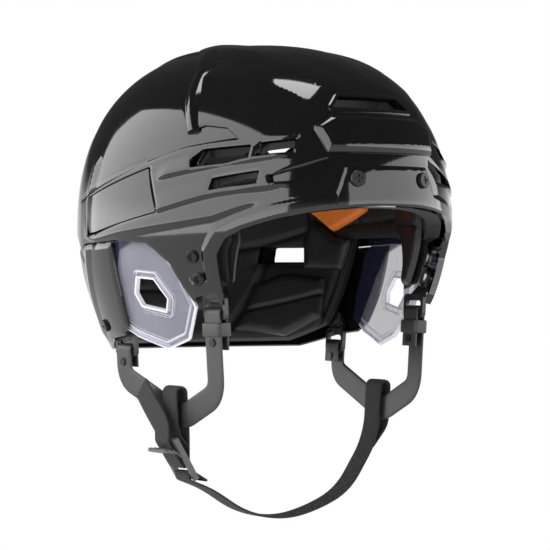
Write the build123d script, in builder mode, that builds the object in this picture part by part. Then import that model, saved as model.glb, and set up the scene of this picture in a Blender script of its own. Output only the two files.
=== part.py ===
from build123d import *
from functools import lru_cache
import math
import os

os.makedirs("parts", exist_ok=True)

# Outer form of the helmet, from the origin at the middle of its widest level
half_width = 105.0
front_reach = 138.6
rear_reach = 127.5
crown_height = 113.2
skirt_drop = 80.0
widest_y = 13.9
crown_y = 21.2
front_fullness = 2.5
rear_fullness = 2.2
tuck_share = 0.24
tuck_power = 1.75
crown_shares = (0, 0.22, 0.42, 0.6, 0.75, 0.86, 0.93, 0.975, 0.994, 0.9996)
skirt_shares = (0.3, 0.6, 0.85, 1.15)

# Walls and the room between them
shell_wall = 3.0
rim_proud = 1.6
brow_proud = 1.3
bar_proud = 3.6
rear_step = 1.5
rear_wall = 2.4
seam_gap = 0.8
web_width = 3.0
arm_floor_wall = 1.7
slide_room = 2.6
part_gap = 0.3
seat_gap = 0.7
overrun = 30.0
corner_radius = 1.6

# Lock levers on the two arms
lever_wall = 2.4
lever_sink = 0.2
lever_seam = 0.9
lever_relief_start = 1.0
lever_relief_top = 4.0
lever_relief_run = 3.1
barrel_radius = 1.6
pin_radius = 0.8
pin_gap = 0.05
barrel_gap = 0.4
clamp_boss_radius = 5.0

# Screws and their nuts
brow_head_radius = 4.6
side_head_radius = 3.9
head_height = 1.9
head_edge = 0.6
recess_width = 1.1
recess_depth = 0.9
shank_radius = 1.9
brow_shank = 5.6
side_shank = 7.2
nut_radius = 5.4
nut_flange = 1.4
nut_barrel_radius = 2.9
thread_gap = 0.05
hole_gap = 0.1
head_gap = 0.4
temple_boss_radius = 6.0

# Foam and pads
foam_wall = 11.3
pad_wall = 6.0
pad_base = 3.4
pad_edge = 2.6
foam_pocket_room = 1.5
vent_margin = 1.0

# Ear guards
guard_clearance = 0.2
guard_wall = 2.0
guard_rim = 0.8
guard_rim_width = 2.6
finger_rib_radius = 1.5
finger_rib_height = 1.5

# Strap hangers and ear loops: where the loop's two rings and its lowest point are
loop_front = Vector(-73.6, -63.2, -46.2)
loop_rear = Vector(-79.6, 29.0, -69.2)
loop_low = Vector(-73.0, -22.0, -108.0)
loop_drop = 55.0
loop_radius = 12.0
loop_width = 15.0
loop_wall = 1.8
ring_width = 21.5
ring_height = 14.4
ring_corner = 3.0
ring_bar = 4.0
ring_wall = 2.4
slot_width = 16.4
slot_height = 6.4
slot_corner = 2.0
tab_width = 11.0
seat_radius = 5.8
seat_lap = 2.4
fold_start = 3.0
front_fold_reach = 24.5
rear_fold_reach = 14.0
front_rivet_drop = 20.0
rear_rivet_drop = 10.6
rivet_radius = 1.4
rivet_head_radius = 2.4
rivet_head = 0.7
clasp_width = 16.4
clasp_top = 8.6
clasp_height = 8.0
clasp_proud = 1.4

# Chin webbing and buckle
webbing_width = 16.0
webbing_wall = 1.6
webbing_bend = 3.0
sewn_end = 9.6
chin_y = -22.0
chin_drop = 174.5
buckle_width = 22.0
buckle_rail = 2.6
buckle_wall = 3.2
buckle_middle = 10.0
buckle_top = 18.0
buckle_tab = 8.6
buckle_lean = 31.0

arm_floor = shell_wall + arm_floor_wall
tongue_depth = arm_floor + slide_room
rear_depth = tongue_depth + rear_wall
foam_depth = arm_floor + part_gap
rear_foam_depth = rear_depth + part_gap
foam_inner = foam_depth + foam_wall
pad_depth = foam_inner + part_gap
pad_inner = pad_depth + pad_wall
guard_depth = arm_floor + guard_clearance
guard_inner = guard_depth + guard_wall
hanger_depth = shell_wall + seat_gap
rear_hanger_depth = rear_step + rear_wall + seat_gap
side_reach = half_width + overrun


def level(height, drawn):
    """Half width, front edge, rear edge and widest line of the form at a height.

    Each level is two half ellipses that meet on the widest line. Above the origin they shrink as
    a superellipse towards the crown, and below it they tuck in. drawn is how far the form is
    drawn in from the outer one.
    """
    if height >= 0:
        share = height / (crown_height - drawn)
        fullness = (front_fullness + rear_fullness) / 2
        front = (1 - share**front_fullness) ** (1 / front_fullness)
        rear = (1 - share**rear_fullness) ** (1 / rear_fullness)
        middle = (1 - share**fullness) ** (1 / fullness)
        shift = widest_y - crown_y
        half = (half_width - drawn) * middle
        front_edge = crown_y - (front_reach + crown_y - drawn) * front
        rear_edge = crown_y + (rear_reach - crown_y - drawn) * rear
        return half, front_edge, rear_edge, crown_y + shift * middle
    tucked = 1 - tuck_share * (-height / skirt_drop) ** tuck_power
    widest = crown_y + (widest_y - crown_y) * tucked
    front_edge = widest - (front_reach + widest_y) * tucked + drawn
    rear_edge = widest + (rear_reach - widest_y) * tucked - drawn
    return half_width * tucked - drawn, front_edge, rear_edge, widest


@lru_cache
def dome(drawn):
    """The closed outer form, drawn in evenly, from under the skirt to the crown."""
    heights = [-skirt_drop * share for share in reversed(skirt_shares)]
    heights += [(crown_height - drawn) * share for share in crown_shares]
    with BuildPart() as form:
        for height in heights:
            half, front_edge, rear_edge, widest = level(height, drawn)
            with BuildSketch(Plane.XY.offset(height)):
                with BuildLine():
                    EllipticalCenterArc((0, widest), half, widest - front_edge, 180, arc_size=180)
                    EllipticalCenterArc((0, widest), half, rear_edge - widest, 0, arc_size=180)
                make_face()
        loft()
    return form.part


def side_points(shares):
    """Side-view points in millimetres, from shares of the reach and height on their side."""
    return [
        (
            share_y * (front_reach if share_y < 0 else rear_reach),
            share_z * (crown_height if share_z > 0 else skirt_drop),
        )
        for share_y, share_z in shares
    ]


def outline(shares, radius=corner_radius):
    """Side-view outline with rounded corners."""
    with BuildSketch() as face:
        with BuildLine():
            Polyline(*side_points(shares), close=True)
        make_face()
        if radius:
            fillet(face.vertices(), radius)
    return face.sketch


def grown(shape, amount):
    """An outline offset by an amount."""
    with BuildSketch() as face:
        offset(shape, amount=amount, kind=Kind.INTERSECTION)
    return face.sketch


def layer(outer, inner, shape, both=True):
    """The wall between two depths of the form, inside a side-view outline."""
    with BuildPart() as wall:
        add(dome(outer))
        add(dome(inner), mode=Mode.SUBTRACT)
        with BuildSketch(Plane.YZ):
            add(shape)
        extrude(amount=-side_reach, both=both, mode=Mode.INTERSECT)
    return wall.part


def wall_plane(y, z, drawn=0.0):
    """Plane on the wearer's right wall: its z axis points straight out of the wall."""

    def x_at(at_y, at_z):
        half, front_edge, rear_edge, widest = level(at_z, drawn)
        axis = widest - front_edge if at_y < widest else rear_edge - widest
        return -half * math.sqrt(1 - ((at_y - widest) / axis) ** 2)

    step = part_gap
    along_y = Vector(x_at(y + step, z) - x_at(y - step, z), 2 * step, 0)
    along_z = Vector(x_at(y, z + step) - x_at(y, z - step), 0, 2 * step)
    return Plane(origin=(x_at(y, z), y, z), x_dir=along_y, z_dir=along_z.cross(along_y))


def brow_plane(x, z, drawn=0.0):
    """Plane on the front wall: its z axis points straight out of the wall."""

    def y_at(at_x, at_z):
        half, front_edge, _, widest = level(at_z, drawn)
        return widest - (widest - front_edge) * math.sqrt(1 - (at_x / half) ** 2)

    step = part_gap
    along_x = Vector(2 * step, y_at(x + step, z) - y_at(x - step, z), 0)
    along_z = Vector(0, y_at(x, z + step) - y_at(x, z - step), 2 * step)
    return Plane(origin=(x, y_at(x, z), z), x_dir=along_x, z_dir=along_x.cross(along_z))


def save(piece, name):
    """Label a finished piece and write it."""
    piece.label = name
    export_step(piece, f"parts/{name}.step")


# Side-view outlines, as shares of the reach and of the height on their side of the origin
front_shares = [
    (0.298, 1.06), (-0.072, 0.936), (-0.238, 0.804), (-0.303, 0.671), (-0.404, 0.486),
    (-0.368, 0.389), (-0.195, 0.327), (-0.094, 0.292), (0.118, 0.221), (0.361, 0.15),
    (0.361, -0.113), (-0.022, -0.087), (-0.224, -0.113), (-0.274, -0.163), (-0.346, -0.263),
    (-0.382, -0.412), (-0.418, -0.537), (-0.44, -0.5), (-0.52, -0.475), (-0.538, -0.565),
    (-0.56, -0.49), (-0.577, -0.2), (-0.62, -0.087), (-0.685, -0.025), (-0.801, 0.035),
    (-0.909, 0.071), (-0.996, 0.097), (-1.12, 0.106), (-1.12, 1.06),
]
rear_shares = [
    (0.298, 1.06), (-0.433, 1.06), (-0.5, 0.459), (-0.418, 0.265), (-0.188, 0.221),
    (-0.188, -0.05), (0.031, -0.06), (0.039, -0.5), (0.063, -0.725), (0.125, -0.8),
    (0.267, -0.825), (0.471, -0.925), (1.06, -0.95), (1.06, 1.06),
]
lap_shares = [
    (0.188, 1.06), (-0.173, 0.919), (-0.339, 0.742), (-0.404, 0.601), (-0.462, 0.459),
    (-0.418, 0.318), (-0.188, 0.265), (-0.188, -0.037), (0.204, -0.037), (0.267, -0.25),
    (1.05, -0.25), (1.05, 1.06),
]
rim_shares = [
    (0.298, 1.06), (-0.072, 0.936), (-0.238, 0.804), (-0.303, 0.671), (-0.404, 0.486),
    (-0.452, 0.5), (-0.36, 0.72), (-0.29, 0.865), (-0.11, 0.99), (0.16, 1.06),
]
arm_shares = [
    (-0.433, 0.389), (-0.368, 0.389), (-0.195, 0.327), (-0.094, 0.292), (0.118, 0.221),
    (0.361, 0.15), (0.361, -0.113), (-0.022, -0.087), (-0.224, -0.113), (-0.361, -0.062),
    (-0.418, 0.177),
]
lever_shares = [(-0.231, 0.3), (0.243, 0.159), (0.22, -0.03), (0.141, -0.02), (-0.296, 0.08)]
guard_tab_shares = [(-0.26, -0.12), (-0.53, -0.12), (-0.53, -0.285), (-0.33, -0.285)]
guard_shares = [
    (-0.267, -0.1), (-0.144, -0.037), (0.11, -0.05), (0.188, -0.175), (0.196, -0.5),
    (0.157, -0.7), (0.031, -0.8), (-0.152, -0.887), (-0.289, -0.812), (-0.339, -0.7),
    (-0.39, -0.575), (-0.361, -0.3),
]
window_shares = [
    (-0.101, -0.362), (-0.202, -0.375), (-0.253, -0.512), (-0.224, -0.6), (-0.087, -0.562),
    (-0.065, -0.475),
]
upper_vent_shares = [
    (-0.455, 0.292), (-0.447, 0.345), (-0.491, 0.389), (-0.678, 0.406), (-0.685, 0.336),
    (-0.606, 0.309),
]
front_vent_shares = [(-0.7, 0.345), (-0.707, 0.415), (-0.808, 0.433), (-0.815, 0.362)]
lower_vent_shares = [(-0.548, 0.177), (-0.556, 0.24), (-0.729, 0.275), (-0.729, 0.22)]
finger_rib_shares = [(0.385, 0.19), (0.385, 0.1)]
rear_vent_shares = [(0.502, -0.113), (0.722, -0.113), (0.722, -0.237), (0.518, -0.237)]
high_vent_shares = [(0.48, 0.55), (0.66, 0.42), (0.7, 0.5), (0.52, 0.63)]
front_foam_shares = [
    (0.165, 1.06), (-0.196, 0.91), (-0.362, 0.735), (-0.426, 0.6), (-0.488, 0.459),
    (-0.44, 0.295), (-0.212, 0.245), (-0.212, -0.03), (-0.285, -0.05), (-0.378, -0.27),
    (-0.405, -0.47), (-0.44, -0.44), (-0.51, -0.41), (-0.54, -0.44), (-0.565, -0.18),
    (-0.61, -0.05), (-0.68, 0.015), (-0.8, 0.06), (-0.909, 0.096), (-1.0, 0.12),
    (-1.12, 0.13), (-1.12, 1.06),
]
hanger_pocket_shares = [(-0.27, -0.05), (-0.27, -0.64), (-0.6, -0.64), (-0.6, -0.08)]
rear_foam_shares = [
    (0.19, 1.06), (-0.171, 0.919), (-0.335, 0.742), (-0.4, 0.601), (-0.456, 0.459),
    (-0.416, 0.322), (-0.186, 0.267), (-0.186, -0.033), (0.21, -0.033), (0.25, -0.5),
    (0.28, -0.74), (0.471, -0.88), (1.06, -0.91), (1.06, 1.06),
]
temple_pad_shares = [
    (-0.22, 0.15), (-0.22, -0.02), (-0.3, -0.06), (-0.39, -0.3), (-0.42, -0.42),
    (-0.5, -0.4), (-0.56, -0.1), (-0.56, 0.15),
]
forehead_pad_shares = [(-0.79, 0.17), (-0.79, 0.5), (-1.1, 0.5), (-1.1, 0.17)]
pod_shares = [
    (0.063, 0.124), (0.063, 0.265), (0.235, 0.353), (0.408, 0.3), (0.455, 0.124), (0.322, 0.01),
]
side_pad_shares = [
    (0.24, -0.3), (0.2, -0.06), (0.31, -0.03), (0.45, 0.08), (0.49, -0.07), (0.47, -0.3),
]
occipital_pad_shares = [
    (0.3, -0.68), (0.34, -0.37), (0.56, -0.33), (0.66, -0.42), (0.66, -0.8), (0.46, -0.84),
]

# Front-view outlines, as shares of the half width and of the crown height
brow_shares = [(-0.36, 0.095), (-0.27, 0.285), (0.27, 0.285), (0.36, 0.095), (0, 0.118)]
bar_shares = [(-0.39, 0.5), (-0.29, 0.56), (0.29, 0.56), (0.39, 0.5), (0.352, 0.37), (-0.352, 0.37)]
top_vent_shares = [(-0.25, 0.592), (0.25, 0.592), (0.19, 0.65), (-0.19, 0.65)]
nape_pad_shares = [
    (-0.29, -0.27), (0.29, -0.27), (0.34, -0.5), (0.32, -0.64), (-0.32, -0.64), (-0.34, -0.5),
]

# Plan outlines, as shares of the half width and of the reach on their side
front_crown_pad_shares = [(-0.27, -0.58), (-0.3, -0.38), (0.3, -0.38), (0.27, -0.58)]
rear_crown_pad_shares = [(-0.34, 0.3), (-0.28, 0.66), (0.28, 0.66), (0.34, 0.3)]

front_region = outline(front_shares)
rear_region = outline(rear_shares)
lap_region = outline(lap_shares)
lever_region = outline(lever_shares)
window_region = outline(window_shares)

with BuildSketch() as shown_sketch:
    add(rear_region)
    offset(front_region, amount=seam_gap, kind=Kind.INTERSECTION, mode=Mode.SUBTRACT)
shown_region = shown_sketch.sketch

with BuildSketch() as tongue_sketch:
    offset(front_region, amount=seam_gap + web_width, kind=Kind.INTERSECTION)
    add(lap_region, mode=Mode.INTERSECT)
tongue_region = tongue_sketch.sketch

with BuildSketch() as web_sketch:
    add(tongue_region)
    add(shown_region, mode=Mode.INTERSECT)
web_region = web_sketch.sketch

# Places of the fasteners, by side view or front view
brow_screw_x = 22.5
brow_screw_share = 0.229
temple_screw_shares = [(-0.469, -0.215), (-0.476, -0.375)]
anchor_share = (0.298, -0.725)

brow_planes = [
    brow_plane(x, brow_screw_share * crown_height, -brow_proud) for x in (-brow_screw_x, brow_screw_x)
]
temple_planes = [wall_plane(y, z) for y, z in side_points(temple_screw_shares)]
anchor_plane = wall_plane(*side_points([anchor_share])[0], rear_step)


def rod(plane, radius, start, end):
    """A round bar along a plane's z axis, from start to end."""
    with BuildPart() as bar:
        with BuildSketch(plane.offset(start)):
            Circle(radius)
        extrude(amount=end - start)
    return bar.part


def front_outline(shares):
    """Front-view outline with rounded corners, from shares of half width and height."""
    points = [
        (x * half_width, z * (crown_height if z > 0 else skirt_drop)) for x, z in shares
    ]
    with BuildSketch() as face:
        with BuildLine():
            Polyline(*points, close=True)
        make_face()
        fillet(face.vertices(), corner_radius)
    return face.sketch


def front_layer(outer, inner, shares, reach=front_reach + overrun):
    """The wall between two depths of the form, inside a front-view outline."""
    with BuildPart() as wall:
        add(dome(outer))
        add(dome(inner), mode=Mode.SUBTRACT)
        with BuildSketch(Plane.XZ):
            add(front_outline(shares))
        extrude(amount=reach, mode=Mode.INTERSECT)
    return wall.part


def top_layer(outer, inner, shares):
    """The wall between two depths of the form, inside a plan outline, above the origin."""
    points = [
        (x * half_width, y * (front_reach if y < 0 else rear_reach)) for x, y in shares
    ]
    with BuildPart() as wall:
        add(dome(outer))
        add(dome(inner), mode=Mode.SUBTRACT)
        with BuildSketch() as plan:
            with BuildLine():
                Polyline(*points, close=True)
            make_face()
            fillet(plan.vertices(), corner_radius)
        extrude(amount=crown_height + overrun, mode=Mode.INTERSECT)
    return wall.part


def screw(plane, head_radius, length):
    """Pan head with a cross recess, standing on the plane, and its shank behind it."""
    with BuildPart() as fastener:
        with BuildSketch(plane):
            Circle(head_radius)
        extrude(amount=head_height)
        chamfer(fastener.faces().sort_by(Axis(plane.origin, plane.z_dir))[-1].edges(), head_edge)
        with BuildSketch(plane):
            Circle(shank_radius)
        extrude(amount=-length)
        with BuildSketch(plane.offset(head_height)):
            Rectangle(head_radius, recess_width)
            Rectangle(recess_width, head_radius)
        extrude(amount=-recess_depth, mode=Mode.SUBTRACT)
    return fastener.part


def nut(plane, depth, barrel):
    """Flanged nut: the flange lies behind the stack and its barrel comes back out through it."""
    with BuildPart() as fastener:
        with BuildSketch(plane.offset(-depth)):
            Circle(nut_radius)
        extrude(amount=-nut_flange)
        with BuildSketch(plane.offset(-depth)):
            Circle(nut_barrel_radius)
        extrude(amount=barrel)
        with BuildSketch(plane.offset(-depth - nut_flange)):
            Circle(shank_radius + thread_gap)
        extrude(amount=nut_flange + barrel, mode=Mode.SUBTRACT)
    return fastener.part


# Lever hinge: a straight pin along the front edge of the lever, whose outer corner is bevelled to swing clear
hinge_top, hinge_foot = side_points([lever_shares[0], lever_shares[-1]])
hinge_depth = lever_sink + barrel_radius + lever_sink
hinge_start = wall_plane(*hinge_top, hinge_depth).origin
hinge_end = wall_plane(*hinge_foot, hinge_depth).origin
hinge_out = wall_plane(*hinge_foot, hinge_depth).z_dir
hinge_axis = (hinge_end - hinge_start).normalized()
hinge_span = (hinge_end - hinge_start).length
hinge_plane = Plane(origin=hinge_start, x_dir=hinge_out, z_dir=hinge_axis)
pin_bite = 2.4
barrel_inset = 2.2
trough_inset = 1.6
clamp_share = (-0.03, 0.12)
clamp_plane = wall_plane(*side_points([clamp_share])[0])
brow_nut_depth = brow_proud + shell_wall + part_gap
guard_nut_depth = guard_inner + part_gap
hanger_nut_depth = hanger_depth + ring_wall + part_gap
anchor_nut_depth = rear_hanger_depth + ring_wall + part_gap - rear_step
shell_hole = nut_barrel_radius + hole_gap

pocket_region = grown(lever_region, lever_seam)
with BuildPart() as trough:
    with BuildSketch(hinge_plane.offset(trough_inset)):
        Circle(barrel_radius + barrel_gap)
        Rectangle(overrun, 2 * (barrel_radius + barrel_gap), align=(Align.MIN, Align.CENTER))
    extrude(amount=hinge_span - 2 * trough_inset)
pin_start = trough_inset - pin_bite
pin_end = hinge_span - pin_start


def on_both(pieces):
    """The pieces of the right side, followed by their mirror images."""
    return pieces + [mirror(piece, about=Plane.YZ) for piece in pieces]


def cutter(shapes, plane, reach):
    """Straight bars for cutting outlines through a wall."""
    with BuildPart() as bars:
        with BuildSketch(plane):
            add(shapes)
        extrude(amount=reach)
    return bars.part


def left_of(piece):
    """The left-hand piece as the mirror image of the right-hand one."""
    with BuildPart() as twin:
        mirror(piece, about=Plane.YZ)
    return twin.part


side_vents = [outline(shares) for shares in (upper_vent_shares, front_vent_shares, lower_vent_shares)]
temple_bosses = [rod(temple_planes[0], temple_boss_radius, -arm_floor, part_gap - shell_wall)]
side_cuts = [
    rod(temple_planes[0], shell_hole, -overrun, overrun),
    rod(temple_planes[1], shell_hole, -overrun, overrun),
    rod(clamp_plane, clamp_boss_radius + lever_seam, -arm_floor - part_gap, 0),
    rod(hinge_plane, pin_radius + pin_gap, pin_start, pin_end),
    trough.part,
    cutter(side_vents, Plane.YZ, -side_reach),
]
middle_cuts = [rod(plane, shell_hole, -overrun, overrun) for plane in brow_planes]
middle_cuts += [
    layer(-overrun, shell_wall, pocket_region),
    cutter([front_outline(top_vent_shares)], Plane.XZ, front_reach + overrun),
]

with BuildPart() as front_shell:
    add(layer(0, shell_wall, front_region))
    add(layer(0, arm_floor, outline(arm_shares)))
    add(layer(-rim_proud, shell_wall, outline(rim_shares)))
    add(front_layer(-brow_proud, shell_wall, brow_shares))
    add(front_layer(-bar_proud, shell_wall, bar_shares))
    add(on_both(temple_bosses))
    add(middle_cuts, mode=Mode.SUBTRACT)
    add(on_both(side_cuts), mode=Mode.SUBTRACT)
save(front_shell.part, "front_shell")

rear_vents = [outline(rear_vent_shares), outline(high_vent_shares)]
rear_cuts = [
    rod(anchor_plane, shell_hole, -overrun, overrun),
    cutter(rear_vents, Plane.YZ, -side_reach),
]
finger_ribs = [
    rod(wall_plane(y, z, rear_step), finger_rib_radius, -part_gap, finger_rib_height)
    for y, z in side_points(finger_rib_shares)
]
with BuildPart() as rear_shell:
    add(layer(rear_step, rear_step + rear_wall, shown_region))
    add(layer(tongue_depth, rear_depth, tongue_region))
    add(layer(rear_step, rear_depth, web_region))
    add(on_both(finger_ribs))
    add(on_both(rear_cuts), mode=Mode.SUBTRACT)
save(rear_shell.part, "rear_shell")

# Screws, and the nuts behind them
with BuildPart() as brow_screws:
    for plane in brow_planes:
        add(screw(plane, brow_head_radius, brow_shank))
save(brow_screws.part, "brow_screws")

with BuildPart() as brow_nuts:
    for plane in brow_planes:
        add(nut(plane, brow_nut_depth, brow_nut_depth - head_gap))
save(brow_nuts.part, "brow_nuts")

with BuildPart() as temple_screws:
    add(on_both([screw(plane, side_head_radius, side_shank) for plane in temple_planes]))
save(temple_screws.part, "temple_screws")

nut_barrel = hanger_nut_depth - head_gap
with BuildPart() as temple_nuts:
    upper_nut = nut(temple_planes[0], guard_nut_depth, nut_barrel)
    lower_nut = nut(temple_planes[1], hanger_nut_depth, nut_barrel)
    add(on_both([upper_nut, lower_nut]))
save(temple_nuts.part, "temple_nuts")

with BuildPart() as anchor_screws:
    add(on_both([screw(anchor_plane, side_head_radius, side_shank)]))
save(anchor_screws.part, "anchor_screws")

with BuildPart() as anchor_nuts:
    add(on_both([nut(anchor_plane, anchor_nut_depth, anchor_nut_depth - head_gap)]))
save(anchor_nuts.part, "anchor_nuts")

# Lock levers: a plate in each arm's recess, a barrel on the pin, a boss through to the rear half
with BuildPart() as lever_right:
    add(layer(lever_sink, lever_sink + lever_wall, lever_region, both=False))
    with BuildSketch(hinge_plane.offset(-overrun)):
        with BuildLine():
            Polyline(
                (lever_relief_start, 0),
                (lever_relief_top, lever_relief_run),
                (lever_relief_top, -overrun),
                (lever_relief_start, -overrun),
                close=True,
            )
        make_face()
    extrude(amount=hinge_span + 2 * overrun, mode=Mode.SUBTRACT)
    barrel = rod(hinge_plane, barrel_radius, barrel_inset, hinge_span - barrel_inset)
    boss_end = tongue_depth - part_gap
    boss = rod(clamp_plane, clamp_boss_radius, -boss_end, -lever_sink - part_gap)
    add([barrel, boss])
    add(
        rod(hinge_plane, pin_radius + pin_gap, pin_start, pin_end),
        mode=Mode.SUBTRACT,
    )
save(lever_right.part, "lever_right")
save(left_of(lever_right.part), "lever_left")

with BuildPart() as hinge_pins:
    add(on_both([rod(hinge_plane, pin_radius, pin_start + part_gap, pin_end - part_gap)]))
save(hinge_pins.part, "hinge_pins")

# Ear guards
with BuildSketch() as guard_face:
    add(outline(guard_shares, 2 * corner_radius))
    add(outline(guard_tab_shares))
with BuildPart() as ear_guard_right:
    add(layer(guard_depth, guard_inner, guard_face.sketch, both=False))
    add(layer(guard_depth - guard_rim, guard_inner, grown(window_region, guard_rim_width), both=False))
    add(
        [
            cutter([window_region], Plane.YZ, -side_reach),
            rod(temple_planes[0], shell_hole, -overrun, overrun),
        ],
        mode=Mode.SUBTRACT,
    )
save(ear_guard_right.part, "ear_guard_right")
save(left_of(ear_guard_right.part), "ear_guard_left")

# Foam liners
foam_vents = [grown(vent, vent_margin) for vent in side_vents]
rear_foam_vents = [grown(vent, vent_margin) for vent in rear_vents]
with BuildPart() as front_liner:
    add(layer(foam_depth, foam_inner, outline(front_foam_shares)))
    pocket_floor = guard_nut_depth + nut_flange + foam_pocket_room
    foam_pocket = layer(-overrun, pocket_floor, outline(hanger_pocket_shares))
    foam_top_vent = grown(front_outline(top_vent_shares), vent_margin)
    foam_cuts = [foam_pocket, cutter([foam_top_vent], Plane.XZ, front_reach + overrun)]
    add([*foam_cuts, *on_both([cutter(foam_vents, Plane.YZ, -side_reach)])], mode=Mode.SUBTRACT)
save(front_liner.part, "front_liner")

with BuildPart() as rear_liner:
    add(layer(rear_foam_depth, foam_inner, outline(rear_foam_shares)))
    add(on_both([cutter(rear_foam_vents, Plane.YZ, -side_reach)]), mode=Mode.SUBTRACT)
save(rear_liner.part, "rear_liner")


def cushion(shares, both=False):
    """A pad whose sides step in towards the head, so that it stands up in the middle."""
    base = layer(pad_depth, pad_depth + pad_base, outline(shares), both)
    return base + layer(pad_depth, pad_inner, grown(outline(shares), -pad_edge), both)


# Comfort pads on the inner face of the foam
with BuildPart() as forehead_pad:
    add(cushion(forehead_pad_shares, both=True))
save(forehead_pad.part, "forehead_pad")

with BuildPart() as front_crown_pad:
    add(top_layer(pad_depth, pad_inner, front_crown_pad_shares))
save(front_crown_pad.part, "front_crown_pad")

with BuildPart() as rear_crown_pad:
    add(top_layer(pad_depth, pad_inner, rear_crown_pad_shares))
save(rear_crown_pad.part, "rear_crown_pad")

with BuildPart() as nape_pad:
    add(front_layer(pad_depth, pad_inner, nape_pad_shares, -rear_reach - overrun))
save(nape_pad.part, "nape_pad")

for pad_name, pad_shares in (
    ("temple_pad", temple_pad_shares),
    ("side_pad", side_pad_shares),
    ("occipital_pad", occipital_pad_shares),
    ("impact_pod", pod_shares),
):
    with BuildPart() as side_cushion:
        add(cushion(pad_shares))
    save(side_cushion.part, f"{pad_name}_right")
    save(left_of(side_cushion.part), f"{pad_name}_left")

# Ear loops: a flat strap hung in two rings, drawn on one plane at the side of the head
loop_plane = Plane(
    origin=loop_front,
    x_dir=loop_rear - loop_front,
    z_dir=(loop_rear - loop_front).cross(loop_low - loop_front),
)
loop_span = (loop_rear - loop_front).length
loop_shares = [(0, 0), (0.124, 0.877), (0.516, 1.0), (1.053, 0.351), (1.0, 0)]
loop_points = [Vector(x * loop_span, y * loop_drop) for x, y in loop_shares]


def ring_plane(place, toward):
    """Plane of a ring: its y axis points back along the strap's run, its z axis outwards."""
    up = (place - toward).normalized()
    along = loop_plane.x_dir * up.X + loop_plane.y_dir * up.Y
    origin = loop_plane.from_local_coords(place)
    return Plane(origin=origin, x_dir=along.cross(loop_plane.z_dir), z_dir=loop_plane.z_dir)


front_ring = ring_plane(loop_points[0], loop_points[1])
rear_ring = ring_plane(loop_points[-1], loop_points[-2])
fold_radius = (loop_wall + ring_wall) / 2 + part_gap
ring_depth = loop_wall / 2 + part_gap


def hanger(seat, depth, ring):
    """A seat under the screw, a ring for the strap and a neck between them."""
    ring_middle = (ring_height - slot_height) / 2 - ring_bar
    end = ring.offset(-ring_depth - ring_wall / 2).from_local_coords((0, slot_height / 2 + ring_bar / 2))
    run = seat.to_local_coords(end)
    turn = math.degrees(math.atan2(run.Y, run.X))
    neck = Vector(nut_radius + seat_lap / 2, 0).rotate(Axis.Z, turn)
    start = seat.from_local_coords((neck.X, neck.Y, -depth - ring_wall / 2))
    with BuildPart() as piece:
        with BuildSketch(seat.offset(-depth)):
            Circle(seat_radius)
            with Locations(Location((0, 0, 0), (0, 0, turn))):
                Rectangle(nut_radius + seat_lap, tab_width, align=(Align.MIN, Align.CENTER))
        extrude(amount=-ring_wall)
        with BuildSketch(ring.offset(-ring_depth)):
            with Locations((0, ring_middle)):
                RectangleRounded(ring_width, ring_height, ring_corner)
        extrude(amount=-ring_wall)
        with BuildSketch(Plane(origin=start, x_dir=ring.x_dir, z_dir=end - start)):
            Rectangle(tab_width, ring_wall)
        extrude(amount=(end - start).length)
        with BuildSketch(ring.offset(-ring_depth - ring_wall - part_gap)):
            RectangleRounded(slot_width, slot_height, slot_corner)
        extrude(amount=ring_wall + 2 * part_gap, mode=Mode.SUBTRACT)
        add(rod(seat, shell_hole, -depth - 2 * ring_wall, -depth + ring_wall), mode=Mode.SUBTRACT)
    return piece.part


def fold(ring, reach):
    """The strap's end: over the ring's bar and back down behind it."""
    with BuildPart() as turn:
        with BuildSketch(Plane(origin=ring.origin, x_dir=ring.y_dir, z_dir=ring.x_dir)):
            with BuildLine():
                Line((-fold_start - loop_wall, 0), (-fold_start, 0))
                CenterArc((-fold_start, -fold_radius), fold_radius, 90, -180)
                Line((-fold_start, -2 * fold_radius), (-reach, -2 * fold_radius))
            trace(line_width=loop_wall)
        extrude(amount=loop_width / 2, both=True)
    return turn.part


def rivet(ring, drop):
    """A rivet through both layers of the strap, with a flat head on each side."""
    place = Plane(origin=ring.from_local_coords((0, -drop)), x_dir=ring.x_dir, z_dir=ring.z_dir)
    top = loop_wall / 2
    foot = -2 * fold_radius - loop_wall / 2
    shank = rod(place, rivet_radius, foot, top)
    heads = [
        rod(place, rivet_head_radius, top, top + rivet_head),
        rod(place, rivet_head_radius, foot - rivet_head, foot),
    ]
    return shank.fuse(*heads)


hangers = {
    "front_hanger": hanger(temple_planes[1], hanger_depth, front_ring),
    "rear_hanger": hanger(anchor_plane, rear_hanger_depth - rear_step, rear_ring),
}
for hanger_name, hanger_piece in hangers.items():
    with BuildPart() as strap_hanger:
        add(hanger_piece)
    save(strap_hanger.part, f"{hanger_name}_right")
    save(left_of(strap_hanger.part), f"{hanger_name}_left")

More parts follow.
